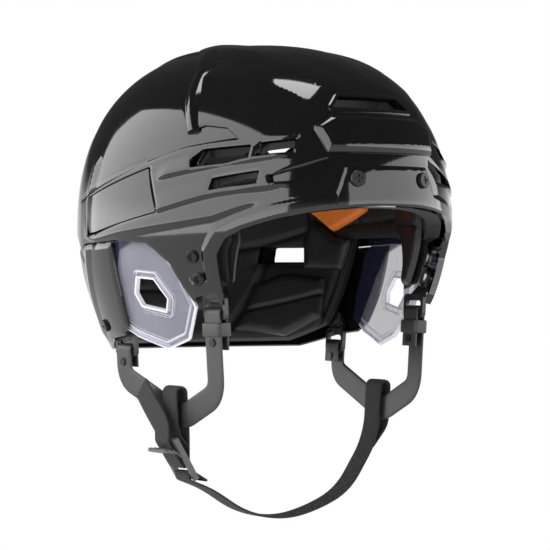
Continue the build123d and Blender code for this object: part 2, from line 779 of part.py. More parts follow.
front_run = (loop_points[1] - loop_points[0]).normalized()
rear_run = (loop_points[-2] - loop_points[-1]).normalized()
with BuildPart() as ear_loop_right:
    with BuildSketch(loop_plane.offset(-loop_wall / 2)):
        with BuildLine():
            FilletPolyline(
                loop_points[0] + front_run * fold_start,
                loop_points[1],
                loop_points[2],
                loop_points[3],
                loop_points[4] + rear_run * fold_start,
                radius=loop_radius,
            )
        trace(line_width=loop_width)
    extrude(amount=loop_wall)
    add([fold(front_ring, front_fold_reach), fold(rear_ring, rear_fold_reach)])
    clasp = Plane(
        origin=front_ring.from_local_coords((0, -clasp_top)),
        x_dir=front_ring.x_dir,
        z_dir=front_ring.z_dir,
    )
    with BuildSketch(clasp):
        Rectangle(clasp_width, clasp_height, align=(Align.CENTER, Align.MAX))
    extrude(amount=loop_wall / 2 + clasp_proud)
    rivet_holes = [
        rod(Plane(front_ring.from_local_coords((0, -front_rivet_drop)), front_ring.x_dir, front_ring.z_dir),
            rivet_radius + thread_gap, -overrun, overrun),
        rod(Plane(rear_ring.from_local_coords((0, -rear_rivet_drop)), rear_ring.x_dir, rear_ring.z_dir),
            rivet_radius + thread_gap, -overrun, overrun),
    ]
    add(rivet_holes, mode=Mode.SUBTRACT)
save(ear_loop_right.part, "ear_loop_right")
save(left_of(ear_loop_right.part), "ear_loop_left")

with BuildPart() as front_rivets:
    add(on_both([rivet(front_ring, front_rivet_drop)]))
save(front_rivets.part, "front_rivets")

with BuildPart() as rear_rivets:
    add(on_both([rivet(rear_ring, rear_rivet_drop)]))
save(rear_rivets.part, "rear_rivets")

# Chin webbing, drawn in the plane across the head at chin_y
chin_plane = Plane.XZ.offset(-chin_y)
strip_lean = -loop_plane.z_dir.Z / loop_plane.z_dir.X
strip_shift = -loop_plane.z_dir.Y / loop_plane.z_dir.X * (chin_y - loop_front.Y)


def strip_x(z):
    """Distance of the ear loop's middle from the middle plane, at the webbing."""
    return -(loop_front.X + strip_shift + strip_lean * (z - loop_front.Z))


strip_slant = abs(loop_plane.z_dir.Y / loop_plane.z_dir.X) * webbing_width / 2
wrap_radius = (loop_wall + webbing_wall) / 2 + part_gap + strip_slant
wrap_top = -98.0
wrap_foot = -120.5
chin_shares = [
    (0.613, 0.766), (0.443, 0.917), (0.219, 0.974), (0, 1.0), (-0.257, 0.974), (-0.4, 0.917),
]
chin_run = [Vector(x * half_width, -z * chin_drop) for x, z in chin_shares]

# Buckle: its foot bar, and the directions up along it and out of it
buckle_foot = Vector(-0.627 * half_width, -0.8355 * chin_drop)
lean = math.radians(buckle_lean)
buckle_up = Vector(-math.sin(lean), math.cos(lean))
buckle_out = Vector(-math.cos(lean), -math.sin(lean))
bar_radius = buckle_wall / 2
wrap_bar_radius = bar_radius + part_gap + webbing_wall / 2


def wrap(side):
    """Outer foot, outer top, inner top and inner foot of webbing wrapped over an ear loop."""
    return [
        Vector(side * (strip_x(z) + out * wrap_radius), z)
        for z, out in ((wrap_foot, 1), (wrap_top, 1), (wrap_top, -1), (wrap_foot, -1))
    ]


left_wrap = wrap(1)
left_over = Vector(strip_x(wrap_top), wrap_top + wrap_radius)
bar_run = (buckle_foot - chin_run[-1]).normalized()
bar_side = Vector(-bar_run.Y, bar_run.X)
near_bar = buckle_foot + bar_side * wrap_bar_radius
far_bar = buckle_foot - bar_side * wrap_bar_radius
round_bar = buckle_foot + bar_run * wrap_bar_radius
lap_start = buckle_foot - bar_run * webbing_width
with BuildPart() as chin_webbing:
    with BuildSketch(chin_plane):
        with BuildLine():
            Polyline(chin_run[0], left_wrap[0], left_wrap[1])
            ThreePointArc(left_wrap[1], left_over, left_wrap[2])
            Polyline(
                left_wrap[2],
                left_wrap[3],
                *chin_run[:-1],
                lap_start,
                near_bar,
            )
            ThreePointArc(near_bar, round_bar, far_bar)
            Line(far_bar, far_bar - bar_run * sewn_end)
        trace(line_width=webbing_wall)
    extrude(amount=webbing_width / 2, both=True)
save(chin_webbing.part, "chin_webbing")

right_wrap = wrap(-1)
right_over = Vector(-strip_x(wrap_top), wrap_top + wrap_radius)
middle_bar = buckle_foot + buckle_up * buckle_middle
bar_behind = middle_bar - buckle_out * wrap_bar_radius
bar_below = middle_bar - buckle_up * wrap_bar_radius
bar_before = middle_bar + buckle_out * wrap_bar_radius
tail_start = bar_before + buckle_up * (buckle_top + buckle_tab - buckle_middle)
tail_start += buckle_out * 2 * part_gap
right_join = (right_wrap[3] + bar_behind) / 2
tail_shares = [(0, 0), (0, 0.33), (0.62, 0.8), (1.0, 1.12)]
tail_reach = 24.0
tail_rise = 27.0
with BuildPart() as adjuster_webbing:
    with BuildSketch(chin_plane):
        with BuildLine():
            Polyline(right_join, right_wrap[0], right_wrap[1])
            ThreePointArc(right_wrap[1], right_over, right_wrap[2])
            Polyline(right_wrap[2], right_join, bar_behind)
            ThreePointArc(bar_behind, bar_below, bar_before)
            Polyline(bar_before, tail_start, tail_start + Vector(0, webbing_bend))
        trace(line_width=webbing_wall)
    extrude(amount=webbing_width / 2, both=True)
    with BuildSketch(Plane.YZ.offset(tail_start.X - webbing_wall / 2)):
        with BuildLine():
            Polyline(
                *[
                    (chin_y + y * tail_reach, tail_start.Y + z * tail_rise)
                    for y, z in tail_shares
                ]
            )
        trace(line_width=webbing_width)
    extrude(amount=webbing_wall)
save(adjuster_webbing.part, "adjuster_webbing")

buckle_plane = Plane(
    origin=(buckle_foot.X, chin_y, buckle_foot.Y),
    x_dir=(0, -1, 0),
    z_dir=(buckle_out.X, 0, buckle_out.Y),
)
with BuildPart() as buckle:
    with BuildSketch(buckle_plane.offset(-bar_radius)):
        for side in (1, -1):
            with Locations((side * (buckle_width - buckle_rail) / 2, -bar_radius)):
                Rectangle(
                    buckle_rail,
                    buckle_top + bar_radius,
                    align=(Align.CENTER, Align.MIN),
                )
        with Locations((0, buckle_top)):
            Rectangle(buckle_width, buckle_tab, align=(Align.CENTER, Align.MIN))
    extrude(amount=buckle_wall)
    for height in (0, buckle_middle):
        bar_start = buckle_plane.from_local_coords((0, height))
        with BuildSketch(Plane(origin=bar_start, x_dir=buckle_plane.y_dir, z_dir=buckle_plane.x_dir)):
            Circle(bar_radius)
        extrude(amount=(buckle_width - buckle_rail) / 2, both=True)
save(buckle.part, "buckle")
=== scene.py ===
# %% [markdown]
# An ice hockey helmet in Blender. The CAD model is the fixed frame: this script loads it, keeps the
# screws, nuts, hangers, levers and buckle as they are with better finishes, and puts fuller surfaces
# in place of the shells, guards, foam, pads and straps. Everything is in metres and in one frame.

import math

import bpy
import numpy as np
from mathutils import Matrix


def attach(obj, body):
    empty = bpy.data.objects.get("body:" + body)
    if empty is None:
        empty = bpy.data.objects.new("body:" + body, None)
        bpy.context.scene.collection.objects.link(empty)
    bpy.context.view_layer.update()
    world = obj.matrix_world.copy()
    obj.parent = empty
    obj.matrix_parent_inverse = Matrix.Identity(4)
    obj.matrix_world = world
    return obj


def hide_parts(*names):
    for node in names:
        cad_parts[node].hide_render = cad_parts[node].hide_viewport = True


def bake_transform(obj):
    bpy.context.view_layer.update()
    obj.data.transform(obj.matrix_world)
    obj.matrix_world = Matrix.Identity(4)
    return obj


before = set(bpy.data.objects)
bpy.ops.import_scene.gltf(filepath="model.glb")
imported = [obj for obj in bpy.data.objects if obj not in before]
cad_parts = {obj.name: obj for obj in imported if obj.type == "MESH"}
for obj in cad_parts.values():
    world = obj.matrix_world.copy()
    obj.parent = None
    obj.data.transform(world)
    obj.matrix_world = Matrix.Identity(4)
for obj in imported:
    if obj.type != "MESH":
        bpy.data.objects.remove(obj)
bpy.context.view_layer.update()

# %% [markdown]
# Every finish and the surroundings are made of shader nodes. A node's inputs are given as pairs of a
# title or number and either a value or the output that feeds it.

# %% Node helpers
def feed(tree, node, inputs):
    """Set or link a node's inputs."""
    for title, given in inputs.items():
        if isinstance(given, bpy.types.NodeSocket):
            tree.links.new(given, node.inputs[title])
        else:
            node.inputs[title].default_value = given


def add_node(tree, kind, inputs=None, **settings):
    """A shader node with its settings and its inputs."""
    node = tree.nodes.new("ShaderNode" + kind)
    for key, value in settings.items():
        setattr(node, key, value)
    feed(tree, node, inputs or {})
    return node


def math_node(tree, operation, *inputs):
    """The output of a Math node."""
    return add_node(tree, "Math", dict(enumerate(inputs)), operation=operation).outputs[0]


def color_stops(tree, share, stops):
    """The colour of a ramp with (place, colour) stops at a share."""
    node = add_node(tree, "ValToRGB", {"Fac": share})
    elements = node.color_ramp.elements
    for element, (place, color) in zip(elements, (stops[0], stops[-1])):
        element.position, element.color = place, (*color, 1)
    for place, color in stops[1:-1]:
        elements.new(place).color = (*color, 1)
    return node.outputs["Color"]


def new_material(name, color, constants):
    """A material, its tree and its Principled shader with constants. The colour is the viewport's."""
    material = bpy.data.materials.new(name)
    material.use_nodes = True
    material.diffuse_color = color
    tree = material.node_tree
    shader = tree.nodes["Principled BSDF"]
    feed(tree, shader, constants)
    return material, tree, shader


# %% [markdown]
# The camera stands where the photograph's camera stood. It is level, a little under the middle of the
# shell, and looks at the front from the wearer's right. A long lens keeps the far side large.

# %% Camera
IMAGE_SIDE, FOCAL_PIXELS = 550, 2115.0
AXIS_PIXEL = (260.0, 278.17)
CAMERA_DISTANCE, CAMERA_HEIGHT = 1.3, -0.02934
VIEW_ANGLE = math.radians(32.956)
camera_data = bpy.data.cameras.new("camera")
camera = bpy.data.objects.new("camera", camera_data)
bpy.context.scene.collection.objects.link(camera)
camera_data.sensor_width = 36.0
camera_data.lens = FOCAL_PIXELS / IMAGE_SIDE * camera_data.sensor_width
camera_data.shift_x = (IMAGE_SIDE / 2 - AXIS_PIXEL[0]) / IMAGE_SIDE
camera_data.shift_y = (AXIS_PIXEL[1] - IMAGE_SIDE / 2) / IMAGE_SIDE
camera.location = (-CAMERA_DISTANCE * math.sin(VIEW_ANGLE), -CAMERA_DISTANCE * math.cos(VIEW_ANGLE),
                   CAMERA_HEIGHT)
camera.rotation_euler = (math.pi / 2, 0, -VIEW_ANGLE)
bpy.context.scene.camera = camera
print("Lens in mm:", round(camera_data.lens, 1))

# %% [markdown]
# Polished black plastic shows the lamps more than itself. A wide soft box on the left makes the grey
# sheet along the side and up the dome, a lower one on the right lights the brow, and a small one
# overhead draws the pane on the crown. A low one by the camera fills the inside. The surroundings
# are white where the camera looks straight or through clear plastic. The gloss sees that white low
# down and a dark ceiling above it, as in a studio.

# %% Lamps and surroundings
scene = bpy.context.scene
scene.view_settings.view_transform = "Standard"


def soft_box(name, place, aim, width, height, radiance):
    """Rectangular lamp at a place, turned to its aim. Its power is pi times its area times its radiance."""
    data = bpy.data.lights.new(name, "AREA")
    data.shape = "RECTANGLE"
    data.size, data.size_y = width, height
    data.energy = math.pi * width * height * radiance
    lamp = bpy.data.objects.new(name, data)
    scene.collection.objects.link(lamp)
    lamp.location = place
    run = np.array(place) - np.array(aim)
    turn = math.atan2(run[0], -run[1])
    lamp.rotation_euler = (math.pi / 2 - math.atan2(run[2], math.hypot(run[0], run[1])), 0, turn)


soft_box("left_box", (-1.74, 0.466, 1.0), (0, 0, 1.0), 5.1, 2.3, 2.9)
soft_box("right_box", (1.13, -1.13, 0.3), (0, 0, 0.3), 4.2, 0.95, 2.4)
soft_box("top_box", (-0.072, 0.012, 1.45), (-0.132, 0.092, 0), 0.42, 0.5, 6.5)
soft_box("low_box", (-0.35, -1.6, -0.9), (0, 0, 0), 0.8, 0.55, 19.0)

world = bpy.data.worlds.new("surroundings")
scene.world = world
world.use_nodes = True
tree = world.node_tree
path = add_node(tree, "LightPath").outputs
seen = math_node(tree, "MAXIMUM", path["Is Camera Ray"], path["Is Transmission Ray"])
direct = math_node(tree, "MAXIMUM", seen, path["Is Glossy Ray"])
split = add_node(tree, "SeparateXYZ", {0: add_node(tree, "TexCoord").outputs["Generated"]})
ceiling = add_node(tree, "MapRange", {
    "Value": split.outputs["Z"], "From Min": 0.02, "From Max": 0.16, "To Min": 1.0, "To Max": 0.06,
}, interpolation_type="SMOOTHSTEP")
overhead = math_node(tree, "MAXIMUM", ceiling.outputs[0], seen)
strength = add_node(tree, "Mix", {"Factor": direct, "A": 0.6, "B": overhead})
feed(tree, tree.nodes["Background"], {"Color": (1, 1, 1, 1), "Strength": strength.outputs["Result"]})

# %% [markdown]
# A finish that several materials share is a node group with named inputs. Moulded plastic and foam
# skin both have a fine grain, so one group makes it: noise in the object's own place gives a height
# for a Bump node and a small change of colour.

# %% Grain group
grain_group = bpy.data.node_groups.new("moulded_grain", "ShaderNodeTree")
interface = grain_group.interface
for title, value in (("Scale", 900.0), ("Speck", 0.1), ("Gloss", 0.3), ("Mottle", 0.05)):
    interface.new_socket(title, in_out="INPUT", socket_type="NodeSocketFloat").default_value = value
interface.new_socket("Color", in_out="INPUT", socket_type="NodeSocketColor")
for title, kind in (("Color", "Color"), ("Roughness", "Float"), ("Height", "Float")):
    interface.new_socket(title, in_out="OUTPUT", socket_type="NodeSocket" + kind)

given = grain_group.nodes.new("NodeGroupInput").outputs
place = add_node(grain_group, "TexCoord").outputs["Object"]
fine = add_node(grain_group, "TexNoise", {"Vector": place, "Scale": given["Scale"], "Detail": 3.0})
broad = add_node(grain_group, "TexNoise", {"Vector": place, "Scale": 45.0, "Detail": 4.0})
centred = math_node(grain_group, "SUBTRACT", broad.outputs["Fac"], 0.5)
mottled = math_node(grain_group, "MULTIPLY_ADD", centred, given["Mottle"], 1.0)
shaded = add_node(grain_group, "VectorMath", {0: given["Color"], "Scale": mottled}, operation="SCALE")
feed(grain_group, grain_group.nodes.new("NodeGroupOutput"), {
    "Color": shaded.outputs[0],
    "Roughness": math_node(grain_group, "MULTIPLY_ADD", centred, given["Speck"], given["Gloss"]),
    "Height": fine.outputs["Fac"],
})

# %% [markdown]
# Each finish is one material. The Principled shader holds the constants, and the grain group feeds
# the colour, the roughness and the bump.

# %% Moulded finishes
def finish(name, color, gloss, scale, depth, speck=0.08, mottle=0.3, **constants):
    """Material from the grain group: a colour, a roughness, a grain scale and a bump depth in metres."""
    material, tree, shader = new_material(name, (*color, 1), constants)
    group = add_node(tree, "Group", {
        "Color": (*color, 1), "Gloss": gloss, "Scale": scale, "Speck": speck, "Mottle": mottle,
    }, node_tree=grain_group)
    bump = add_node(tree, "Bump", {"Height": group.outputs["Height"], "Distance": depth, "Strength": 1.0})
    feed(tree, shader, {
        "Base Color": group.outputs["Color"], "Roughness": group.outputs["Roughness"],
        "Normal": bump.outputs["Normal"],
    })
    return material


shell_gloss = finish("shell_gloss", (0.004, 0.004, 0.0042), 0.07, 260.0, 0.00001, speck=0.05,
                     IOR=1.6)
screw_black = finish("screw_black", (0.02, 0.02, 0.021), 0.3, 1500.0, 0.00002, Metallic=0.6)
plated_steel = finish("plated_steel", (0.55, 0.55, 0.56), 0.32, 900.0, 0.00002, Metallic=1.0)
foam_skin = finish("foam_skin", (0.013, 0.013, 0.0135), 0.55, 1300.0, 0.00012)
pad_foam = finish("pad_foam", (0.017, 0.017, 0.0175), 0.4, 1100.0, 0.00012)
pod_orange = finish("pod_orange", (0.95, 0.235, 0.035), 0.5, 900.0, 0.00008, mottle=0.12)
hanger_black = finish("hanger_black", (0.016, 0.016, 0.017), 0.32, 1100.0, 0.00004)
strap_grey = finish("strap_grey", (0.022, 0.022, 0.023), 0.42, 1500.0, 0.00006)
buckle_grey = finish("buckle_grey", (0.07, 0.07, 0.073), 0.45, 1200.0, 0.00006)

for finish_used, names in (
    (shell_gloss, ("lever_right", "lever_left")),
    (screw_black, ("brow_screws", "temple_screws", "anchor_screws", "front_rivets", "rear_rivets")),
    (plated_steel, ("brow_nuts", "temple_nuts", "anchor_nuts", "hinge_pins")),
    (hanger_black, ("front_hanger_right", "front_hanger_left", "rear_hanger_right", "rear_hanger_left")),
    (buckle_grey, ("buckle",)),
):
    for name in names:
        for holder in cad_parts[name].material_slots:
            holder.material = finish_used

# %% [markdown]
# The helmet's form is one smooth dome. Each level is two half ellipses that meet on the widest line.
# Above the widest level they shrink to the crown, and below it they tuck in. The CAD uses the same
# rule, so walls made here lie where the solids lie.

# %% The form
MM = 0.001
HALF, FRONT, REAR, CROWN, SKIRT = 105.0, 138.6, 127.5, 113.2, 80.0
WIDEST_Y, CROWN_Y, FRONT_POWER, REAR_POWER = 13.9, 21.2, 2.5, 2.2
TUCK, TUCK_POWER = 0.24, 1.75
MIDDLE = np.array((0.0, 17.0, -20.0))
MAP_SCALE = 115.0
MAP_REACH = 2.2 * MAP_SCALE


def outside(points, drawn):
    """Above 0 outside the form drawn in by an amount, below 0 inside.

    Above the origin with s the share of the crown's height, half and edges shrink as
    (1 - s^p)^(1/p); below it they shrink by the tuck times the drop's share to a power. The
    result is (x / half)^2 + (distance from the widest line / reach)^2 - 1.
    """
    x, y, z = points[..., 0], points[..., 1], points[..., 2]
    share = np.clip(z / (CROWN - drawn), 0, 0.9999999)
    power = (FRONT_POWER + REAR_POWER) / 2
    front = (1 - share**FRONT_POWER) ** (1 / FRONT_POWER)
    rear = (1 - share**REAR_POWER) ** (1 / REAR_POWER)
    middle = (1 - share**power) ** (1 / power)
    tucked = np.maximum(1 - TUCK * (np.maximum(-z, 0) / SKIRT) ** TUCK_POWER, 0.2)
    up = z >= 0
    widest = CROWN_Y + (WIDEST_Y - CROWN_Y) * np.where(up, middle, tucked)
    half = np.where(up, (HALF - drawn) * middle, HALF * tucked - drawn)
    ahead = np.where(up, widest - CROWN_Y + (FRONT + CROWN_Y - drawn) * front,
                     (FRONT + WIDEST_Y) * tucked - drawn)
    behind = np.where(up, CROWN_Y - widest + (REAR - CROWN_Y - drawn) * rear,
                      (REAR - WIDEST_Y) * tucked - drawn)
    reach = np.where(y < widest, ahead, behind)
    return (x / half) ** 2 + ((y - widest) / reach) ** 2 - 1 + 10.0 * (z > CROWN - drawn)


def form_at(u, v, drawn):
    """Points of the drawn-in form under map points (u, v).

    The map spreads the dome flat round the crown: the distance from its middle is the angle from
    straight up times MAP_SCALE. A ray from MIDDLE in that direction meets the form where
    outside() turns to 0, found by halving.
    """
    angle = np.hypot(u, v) / MAP_SCALE
    spread = np.sinc(angle / np.pi) / MAP_SCALE
    way = np.stack([u * spread, v * spread, np.cos(angle)], -1)
    near = np.full(u.shape, 5.0)
    far = np.full(u.shape, 190.0)
    for _ in range(19):
        half_way = (near + far) / 2
        beyond = outside(MIDDLE + way * half_way[..., None], drawn) > 0
        far = np.where(beyond, half_way, far)
        near = np.where(beyond, near, half_way)
    return MIDDLE + way * far[..., None]


# %% [markdown]
# The outlines of the shells are drawn in the side view, the front view or the plan. The distance to
# such an outline, below 0 inside, trims the walls, and the same distance shapes ramps and creases.

# %% Outlines and distances
VIEWS = {"side": (1, 2), "front": (0, 2), "plan": (0, 1)}


def shape(shares, view="side"):
    """Outline in mm in a view, from shares of the half width, the reach and the height."""
    first, second = (((HALF, HALF), (FRONT, REAR), (SKIRT, CROWN))[axis] for axis in VIEWS[view])
    return [(a * first[a > 0], b * second[b > 0]) for a, b in shares]


def segment_distance(a, b, start, end):
    """Distance of points (a, b) from the segment: the point less its nearest point on it."""
    run = np.subtract(end, start)
    along = np.clip(((a - start[0]) * run[0] + (b - start[1]) * run[1]) / max(run @ run, 1e-9), 0, 1)
    return np.hypot(a - start[0] - along * run[0], b - start[1] - along * run[1])


def inshape(a, b, corners):
    """Distance to a closed outline, below 0 inside, by the even-odd count of crossings."""
    nearest = np.full(np.shape(a), 1e9)
    crossed = np.zeros(np.shape(a), bool)
    for start, end in zip(corners, corners[1:] + corners[:1]):
        nearest = np.minimum(nearest, segment_distance(a, b, start, end))
        if start[1] != end[1]:
            level = (start[1] > b) != (end[1] > b)
            crossed ^= level & (a < start[0] + (b - start[1]) * (end[0] - start[0]) / (end[1] - start[1]))
    return np.where(crossed, -nearest, nearest)


def line_distance(a, b, corners):
    """Distance to an open line of corners."""
    return np.min([segment_distance(a, b, s, e) for s, e in zip(corners, corners[1:])], axis=0)


def away(points, outline, view="side"):
    """Distance of points from an outline drawn in a view, below 0 inside."""
    first, second = VIEWS[view]
    return inshape(points[..., first], points[..., second], outline)


def grown(outline, by):
    """Region inside a side-view outline grown by an amount."""
    def region(points):
        return away(points, outline) - by
    return region


def part_of(outline, view, axis, side, least=5.0):
    """Region inside an outline drawn in a view, where the coordinate on the axis times the side
    passes the least."""
    def region(points):
        return np.maximum(away(points, outline, view), least - side * points[..., axis])
    return region


def ramp(distance, width):
    """Smooth change from 0 outside to 1 inside, over a width centred on the outline."""
    share = np.clip(0.5 - distance / width, 0, 1)
    return share * share * (3 - 2 * share)


def crest(distance, width):
    """1 on a line, falling straight to 0 at a width from it, so the line itself is a crisp fold."""
    return np.clip(1 - distance / width, 0, 1)


def strake(y, z, line, fade, width=4.2):
    """A step along a line of (y, z) points that run from high y to low y.

    With t = z less the line's height at y, it is a smooth step over the width round t = 0, times
    1 - t / fade above it, and it dies out over 12 mm at both ends of the line.
    """
    line = np.array(line, float)[::-1]
    above = z - np.interp(y, line[:, 0], line[:, 1])
    ends = ramp(line[0, 0] + 6 - y, 12) * ramp(y - line[-1, 0] + 6, 12)
    return ramp(-above, width) * np.clip(1 - above / fade, 0, 1) * ends


# %% [markdown]
# Every moulded wall is made the same way. A square grid on the flat map is trimmed to the outline:
# the grid point next to each crossing moves onto the outline, cells outside go, and the two faces of
# the wall are joined by a rim. The points near the rim are lowered a little, which rounds the edge.

# %% Wall maker
RIM_REACH, RIM_CAP = 2.5, 1.4
PROBE = 0.4


def unit(rows):
    """Each row as a vector of length 1."""
    return rows / np.linalg.norm(rows, axis=1)[:, None]


def set_normals(mesh, normals):
    """Exact normals on the faces whose corners all lie in the first points; the rest stay automatic."""
    vertex = np.empty(len(mesh.loops), np.int32)
    mesh.loops.foreach_get("vertex_index", vertex)
    start = np.empty(len(mesh.polygons), np.int32)
    mesh.polygons.foreach_get("loop_start", start)
    highest = np.maximum.reduceat(vertex, start)
    top = np.repeat(highest < len(normals), np.diff(np.append(start, len(vertex))))
    corner = np.zeros((len(vertex), 3))
    corner[top] = normals[vertex[top]]
    mesh.normals_split_custom_set(corner.tolist())


def put_mesh(name, points, quads, triangles, body, slot, material, attributes=(), normals=None,
             replaces=()):
    """Mesh object from points in mm and faces, riding on a body."""
    corners = np.concatenate([quads.ravel(), triangles.ravel()]).astype(np.int32)
    starts = np.concatenate([np.arange(len(quads)) * 4, len(quads) * 4 + np.arange(len(triangles)) * 3])
    mesh = bpy.data.meshes.new(name)
    mesh.vertices.add(len(points))
    mesh.vertices.foreach_set("co", (points * MM).astype(np.float32).ravel())
    mesh.loops.add(len(corners))
    mesh.loops.foreach_set("vertex_index", corners)
    mesh.polygons.add(len(starts))
    mesh.polygons.foreach_set("loop_start", starts.astype(np.int32))
    mesh.update(calc_edges=True)
    mesh.validate()
    mesh.shade_smooth()
    mesh.set_sharp_from_angle(angle=math.radians(38))
    for title, values in attributes:
        mesh.attributes.new(title, "FLOAT", "POINT").data.foreach_set("value", values.astype(np.float32))
    if normals is not None:
        set_normals(mesh, normals)
    mesh.materials.append(material)
    piece = bpy.data.objects.new(name, mesh)
    scene.collection.objects.link(piece)
    if body:
        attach(piece, body)
    if replaces:
        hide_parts(*replaces)
    return piece


def trimmed_grid(region, drawn, step, window):
    """Map points and cells inside a region: (u, v, quads, triangles)."""
    u_low, u_high, v_low, v_high = window
    u, v = np.arange(u_low, u_high + step, step), np.arange(v_low, v_high + step, step)
    u, v = np.meshgrid(u, v, indexing="ij")
    field = region(form_at(u, v, drawn))
    field = np.where(np.hypot(u, v) > MAP_REACH, 50.0, field)
    snap = np.zeros(field.shape, bool)
    for values, marks in ((field, snap), (field.T, snap.T)):
        a, b = values[:-1], values[1:]
        crossing = (a < 0) != (b < 0)
        nearer = np.abs(a) <= np.abs(b)
        marks[:-1] |= crossing & nearer
        marks[1:] |= crossing & ~nearer
    slope_u, slope_v = np.gradient(field, step)
    steepness = np.maximum(slope_u**2 + slope_v**2, 1e-4)
    for _ in range(3):
        shift = np.clip(field[snap] / steepness[snap], -step, step)
        u[snap] -= np.clip(shift * slope_u[snap], -0.6 * step, 0.6 * step)
        v[snap] -= np.clip(shift * slope_v[snap], -0.6 * step, 0.6 * step)
        field[snap] = region(form_at(u[snap], v[snap], drawn))
    kept = (field < 0) | snap
    number = np.arange(field.size).reshape(field.shape)
    corners = np.stack([number[:-1, :-1], number[1:, :-1], number[1:, 1:], number[:-1, 1:]], -1)
    corners = corners.reshape(-1, 4)
    held = kept.ravel()[corners]
    edge_only = snap.ravel()[corners].all(1)
    centre = (u.ravel()[corners].mean(1), v.ravel()[corners].mean(1))
    if edge_only.any():
        probe = region(form_at(centre[0][edge_only], centre[1][edge_only], drawn)) > 0
        held[np.flatnonzero(edge_only)[probe]] = False
    quads = corners[held.all(1)]
    three = corners[held.sum(1) == 3]
    present = held[held.sum(1) == 3]
    triangles = three[present].reshape(-1, 3)
    inner = ~snap.ravel()[triangles].all(1)
    return u.ravel(), v.ravel(), quads, triangles[inner]


def wall(name, region, outer, inner, body, slot, material, step=1.6, window=None, replaces=(),
         proud=None, sunk=None, edge=0.7, inner_edge=0.0, attributes=()):
    """Closed wall between two depths of the form, inside a region.

    proud(points) raises the outer face along its normal and sunk(points) raises the inner face
    towards the head. edge and inner_edge lower the points by the rim, which rounds it: the drop is
    the edge times (1 - distance / reach)^2, with a reach of RIM_REACH grid steps, and it goes on past
    the rim up to RIM_CAP so that the slope on the rim itself comes out right. Each attribute is a
    name and a function of the points, stored for the material. The outer normals are exact: the
    form's normal less the relief's slope along two directions.
    """
    window = window or (-MAP_REACH, MAP_REACH, -MAP_REACH, MAP_REACH)
    u, v, quads, triangles = trimmed_grid(region, outer, step, window)
    used = np.unique(np.concatenate([quads.ravel(), triangles.ravel()]))
    renumber = np.full(u.size, -1)
    renumber[used] = np.arange(len(used))
    quads, triangles = renumber[quads], renumber[triangles]
    u, v = u[used], v[used]
    face = form_at(u, v, outer)
    along = form_at(u + PROBE, v, outer) - form_at(u - PROBE, v, outer)
    across = form_at(u, v + PROBE, outer) - form_at(u, v - PROBE, outer)
    normal = unit(np.cross(along, across))
    sides = np.concatenate([
        faces[:, [i, (i + 1) % n]] for faces, n in ((quads, 4), (triangles, 3)) for i in range(n)
    ])
    keys = sides[:, 0] * (len(used) + 1) + sides[:, 1]
    twins = sides[:, 1] * (len(used) + 1) + sides[:, 0]
    border = sides[~np.isin(keys, twins)]
    back = form_at(u, v, inner)
    lowered = sunk(back) if sunk else 0.0

    def near_rim(points):
        return np.clip(1 + region(points) / (RIM_REACH * step), 0, RIM_CAP) ** 2

    def relief(points):
        return (proud(points) if proud else 0.0) - edge * near_rim(points)

    first = unit(along)
    exact = normal
    for way in (first, np.cross(normal, first)):
        slope = (relief(face + way * PROBE) - relief(face - way * PROBE)) / (2 * PROBE)
        exact = exact - slope[:, None] * way
    back = back - normal * (lowered - inner_edge * near_rim(face))[:, None]
    face = face + normal * relief(face)[:, None]
    count = len(used)
    rim = np.stack([border[:, 1], border[:, 0], border[:, 0] + count, border[:, 1] + count], -1)
    points = np.concatenate([face, back])
    all_quads = np.concatenate([quads, quads[:, ::-1] + count, rim])
    all_triangles = np.concatenate([triangles, triangles[:, ::-1] + count])
    extra = [(title, np.tile(value(form_at(u, v, outer)), 2)) for title, value in attributes]
    piece = put_mesh(name, points, all_quads, all_triangles, body, slot, material,
                     attributes=extra, normals=unit(exact), replaces=replaces)
    print(f"{name}: {len(points)} points, {len(all_quads) * 2 + len(all_triangles)} triangles")
    return piece


# %% [markdown]
# The front half is one moulding from the brow to the crown, with an arm along each side. Its rear
# edge is a raised rim, the bar over the brow stands proud, and folds run from the arms to the vents.
# The lever lies in a recess, so the shell is open there and an arm floor closes it behind.

# %% Outlines of the front half
SEAM_EDGE = [(0.298, 1.06), (-0.072, 0.936), (-0.238, 0.804), (-0.303, 0.671), (-0.404, 0.486)]
ARM_EDGE = [
    (-0.368, 0.389), (-0.195, 0.327), (-0.094, 0.292), (0.118, 0.221), (0.361, 0.15),
    (0.361, -0.113), (-0.022, -0.087), (-0.224, -0.113),
]
FRONT_REGION = shape([
    *SEAM_EDGE, *ARM_EDGE, (-0.274, -0.163), (-0.346, -0.263),
    (-0.382, -0.412), (-0.418, -0.537), (-0.44, -0.5), (-0.52, -0.475), (-0.538, -0.565),
    (-0.56, -0.49), (-0.577, -0.2), (-0.62, -0.087), (-0.685, -0.025), (-0.801, 0.035),
    (-0.909, 0.071), (-0.996, 0.097), (-1.12, 0.106), (-1.12, 1.06),
])
RIM_BAND = shape([
    *SEAM_EDGE, (-0.452, 0.5), (-0.36, 0.72), (-0.29, 0.865), (-0.11, 0.99), (0.16, 1.06),
])
ARM = shape([(-0.433, 0.389), *ARM_EDGE, (-0.361, -0.062), (-0.418, 0.177)])
LEVER = shape([(-0.231, 0.3), (0.243, 0.159), (0.22, -0.03), (0.141, -0.02), (-0.296, 0.08)])
UPPER_VENT = shape([
    (-0.455, 0.292), (-0.447, 0.345), (-0.491, 0.389), (-0.678, 0.406), (-0.685, 0.336), (-0.606, 0.309),
])
FRONT_VENT = shape([(-0.7, 0.345), (-0.707, 0.415), (-0.808, 0.433), (-0.815, 0.362)])
LOWER_VENT = shape([(-0.548, 0.177), (-0.556, 0.24), (-0.729, 0.275), (-0.729, 0.22)])
BROW = shape([(-0.37, 0.06), (-0.27, 0.3), (0.27, 0.3), (0.37, 0.06)], "front")
